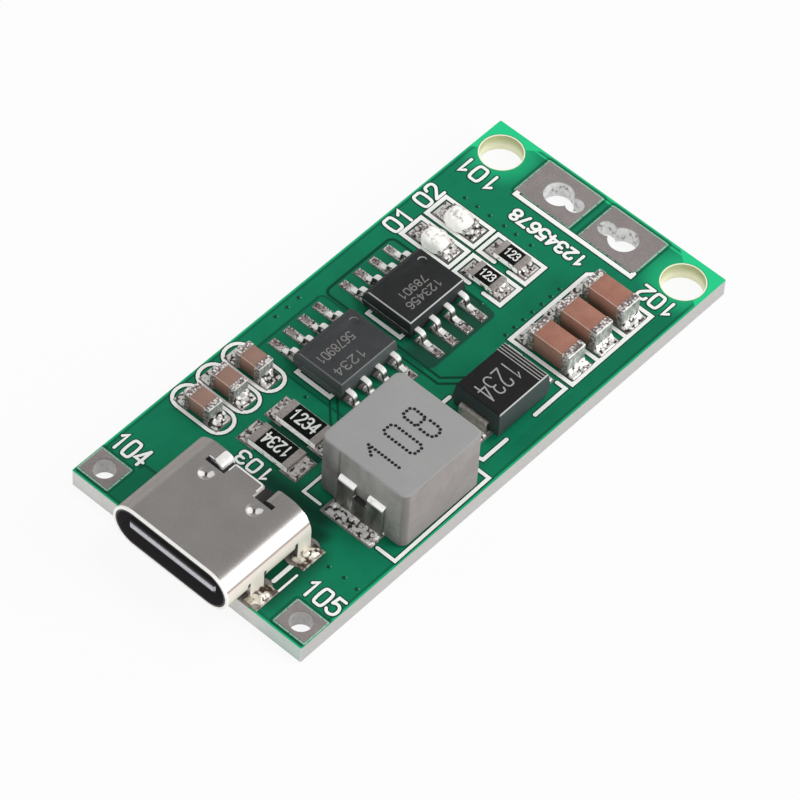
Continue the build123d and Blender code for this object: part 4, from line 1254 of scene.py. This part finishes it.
# Marks on the parts
greyMark = plainFinish("greyMark", (112, 110, 108), (150, 147, 145), 0.05, 0.002, 0.7)
paleMark = plainFinish("paleMark", (146, 144, 143), (182, 180, 178), 0.05, 0.002, 0.7)
blackMark = plainFinish("blackMark", (14, 14, 14), (34, 33, 32), 0.08, 0.002, 0.6)
chipMark = plainFinish("chipMark", (228, 230, 226), (250, 250, 247), 0.06, 0.002, 0.6)
marks = {  # slot, finish, level, figures as on the board
    "charger_mark": ("package_black", greyMark, 2.885, [
        ("123456", (-2.4, 4.2), 2.75, 0.52, forward, 0.075),
        ("78901", (-3.22, 4.12), 2.2, 0.5, forward, 0.075),
    ]),
    "switch_mark": ("package_black", greyMark, 2.885, [
        ("1234", (-2.08, -2.6), 2.3, 0.6, forward, 0.08),
        ("5678901", (-3.4, -2.4), 2.85, 0.6, forward, 0.075),
    ]),
    "diode_mark": ("package_black", paleMark, 3.505, [
        ("1234", (5.38, 2.0), 2.8, 1.45, forward, 0.1),
    ]),
    "sense_mark": ("resistor_glaze", chipMark, 1.908, [
        ("1234", (-1.5, -7.02), 1.85, 0.82, right, 0.13),
        ("1234", (-1.5, -9.4), 1.85, 0.82, left, 0.13),
    ]),
    "lamp_mark": ("resistor_glaze", chipMark, 1.858, [
        ("123", (-1.2, 10.8), 0.95, 0.55, right, 0.09),
        ("123", (-1.2, 8.58), 0.95, 0.55, right, 0.09),
    ]),
}
bandPlaces = (4.36, 4.17, 3.95, 3.74)  # thin lines across the rear end of the diode
for name, (slot, look, level, rows) in marks.items():
    low, high = level - 0.004, level + 0.012
    parts = []
    for text, centre, length, height, along, width in rows:
        parts += writeFigures(text, centre, length, height, along, width, low, high)
    if name == "diode_mark":
        parts += [ribbon([(3.75, y), (7.05, y)], 0.07, low, high) for y in bandPlaces]
    addMesh(name, layered(parts), look, False)

boxFigures = {  # in the same cell: (points, closed)
    "1": [([(0.02, 0.72), (0.34, 0.98), (0.34, 0)], False)],
    "0": [([(0.12, 1), (0.48, 1), (0.6, 0.9), (0.6, 0.1), (0.48, 0), (0.12, 0), (0, 0.1), (0, 0.9)], True)],
    "8": [([(0.12, 1), (0.48, 1), (0.6, 0.9), (0.58, 0.53), (0, 0.53), (0, 0.9)], True),
          ([(0, 0.4), (0, 0.1), (0.12, 0), (0.48, 0), (0.6, 0.1), (0.6, 0.4)], False)],
}
inductorDots = {
    "cells": [("1", -8.22), ("0", -6.52), ("8", -4.88)],  # figure and its place y
    "x": 5.47,
    "width": 0.86,
    "height": 2.4,
    "spacing": 0.27,
    "radius": 0.11,
    "level": blockSpec["top"],
}


# Dots at an even spacing along each path of the figures; a figure's up is the board's left
def dottedMark(spec):
    centres = []
    for text, y in spec["cells"]:
        for points, closed in boxFigures[text]:
            points = np.array(points + points[:1] if closed else points)
            across = spec["x"] - (points[:, 1] - 0.5) * spec["height"]
            rear = y + (points[:, 0] / 0.6 - 0.5) * spec["width"]
            steps = np.hypot(np.diff(across), np.diff(rear))
            steps = np.concatenate([[0], np.cumsum(steps)])
            at = np.linspace(0, steps[-1], round(steps[-1] / spec["spacing"]) + 1)[: -1 if closed else None]
            centres.append(np.stack([np.interp(at, steps, across), np.interp(at, steps, rear)], 1))
    parts = [dots(row, spec["radius"], spec["level"] - 0.004, spec["level"] + 0.01, 8) for row in centres]
    addMesh("inductor_mark", layered(parts), blackMark, False)


dottedMark(inductorDots)
print("print and marks made")

# Camera, floor and light
view = {
    "place": (0.112085, -0.138187, 0.228237),
    "right": (0.7392, 0.6722, 0.0429),
    "up": (-0.5516, 0.5676, 0.6112),
    "lens": 221.65,
}


def setCamera(spec):
    camera = bpy.data.cameras.new("viewCamera")
    camera.lens = spec["lens"]
    camera.sensor_width = 36
    camera.clip_start, camera.clip_end = 0.01, 10
    holder = newObject("viewCamera", camera)
    acrossAxis = Vector(spec["right"]).normalized()
    upAxis = Vector(spec["up"])
    upAxis = (upAxis - acrossAxis * upAxis.dot(acrossAxis)).normalized()
    turn = Matrix((acrossAxis, upAxis, acrossAxis.cross(upAxis))).transposed().to_4x4()
    holder.matrix_world = Matrix.Translation(spec["place"]) @ turn
    bpy.context.scene.camera = holder


setCamera(view)
lamps = [  # name, place, aimed at, width, height, power, colour
    ("sideBox", (0.40, 0.22, 0.19), (0, 0, 0.004), 0.26, 0.2, 0.97, (1.0, 0.985, 0.965)),
    ("topBox", (0.16, 0.2, 0.55), (0, 0, 0), 0.2, 0.2, 0.75, (1, 1, 1)),
]
for name, place, aim, width, height, power, colour in lamps:
    light = bpy.data.lights.new(name, "AREA")
    light.shape, light.size, light.size_y = "RECTANGLE", width, height
    light.energy, light.color = power, colour
    lamp = newObject(name, light)
    lamp.location = place
    lamp.visible_glossy = name == "sideBox"
    lamp.rotation_euler = (Vector(aim) - Vector(place)).to_track_quat("-Z", "Y").to_euler()


# The room as it lights the part, as metal mirrors it (dark overhead and on the left, white low down) and as
# the camera sees it
def setWorld(ambient, overhead, horizon):
    world = bpy.data.worlds.new("studio")
    bpy.context.scene.world = world
    world.use_nodes = True
    world.cycles.sampling_method = "NONE"
    world.node_tree.nodes.clear()
    room = NodeMaker(world.node_tree)
    camera, glossy, transmission = room.rays()
    x, _, z = room.parts(room.node("TexCoord", {}, {}, "Generated"))
    aside = x.math("MULTIPLY_ADD", -0.5, z)
    settings = {"interpolation_type": "SMOOTHSTEP"}
    mirrored = room.node("MapRange", settings, [aside, 0.3, 0.5, horizon, overhead])
    strength = room.node("Mix", {}, {0: glossy, 2: ambient, 3: mirrored})
    lit = room.node("Background", {}, [(1, 1, 1, 1), strength])
    white = room.node("Background", {}, [(1, 1, 1, 1), 1.0])
    both = room.node("MixShader", {}, [camera.high(transmission), lit, white])
    room.node("OutputWorld", {}, [both], None)


setWorld(ambient=0.61, overhead=0.27, horizon=1.15)


def layFloor(size, share):
    mesh = bpy.data.meshes.new("floor")
    corners = [(-size, -size, 0), (size, -size, 0), (size, size, 0), (-size, size, 0)]
    mesh.from_pydata(corners, [], [(0, 1, 2, 3)])
    floor = newObject("floor", mesh)
    floor.location.z = -0.00002
    paper = Finish("paleFloor", base_color=(0.88, 0.88, 0.88, 1), roughness=1.0, specular=0.0)
    camera, glossy, transmission = paper.rays()
    direct = camera.high(glossy).high(transmission)
    white = paper.node("Emission", {}, {"Color": (1, 1, 1, 1), "Strength": 1.0})
    paint = Wire(paper, paper.shader.outputs[0])
    both = paper.node("MixShader", {}, [direct * share, paint, white])
    paper.tree.links.new(both.socket, paper.tree.nodes["Material Output"].inputs["Surface"])
    paper.material.cycles.emission_sampling = "NONE"
    mesh.materials.append(paper.material)


layFloor(1.5, 0.9)
bpy.context.scene.view_settings.view_transform = "Standard"
print("camera and light set")
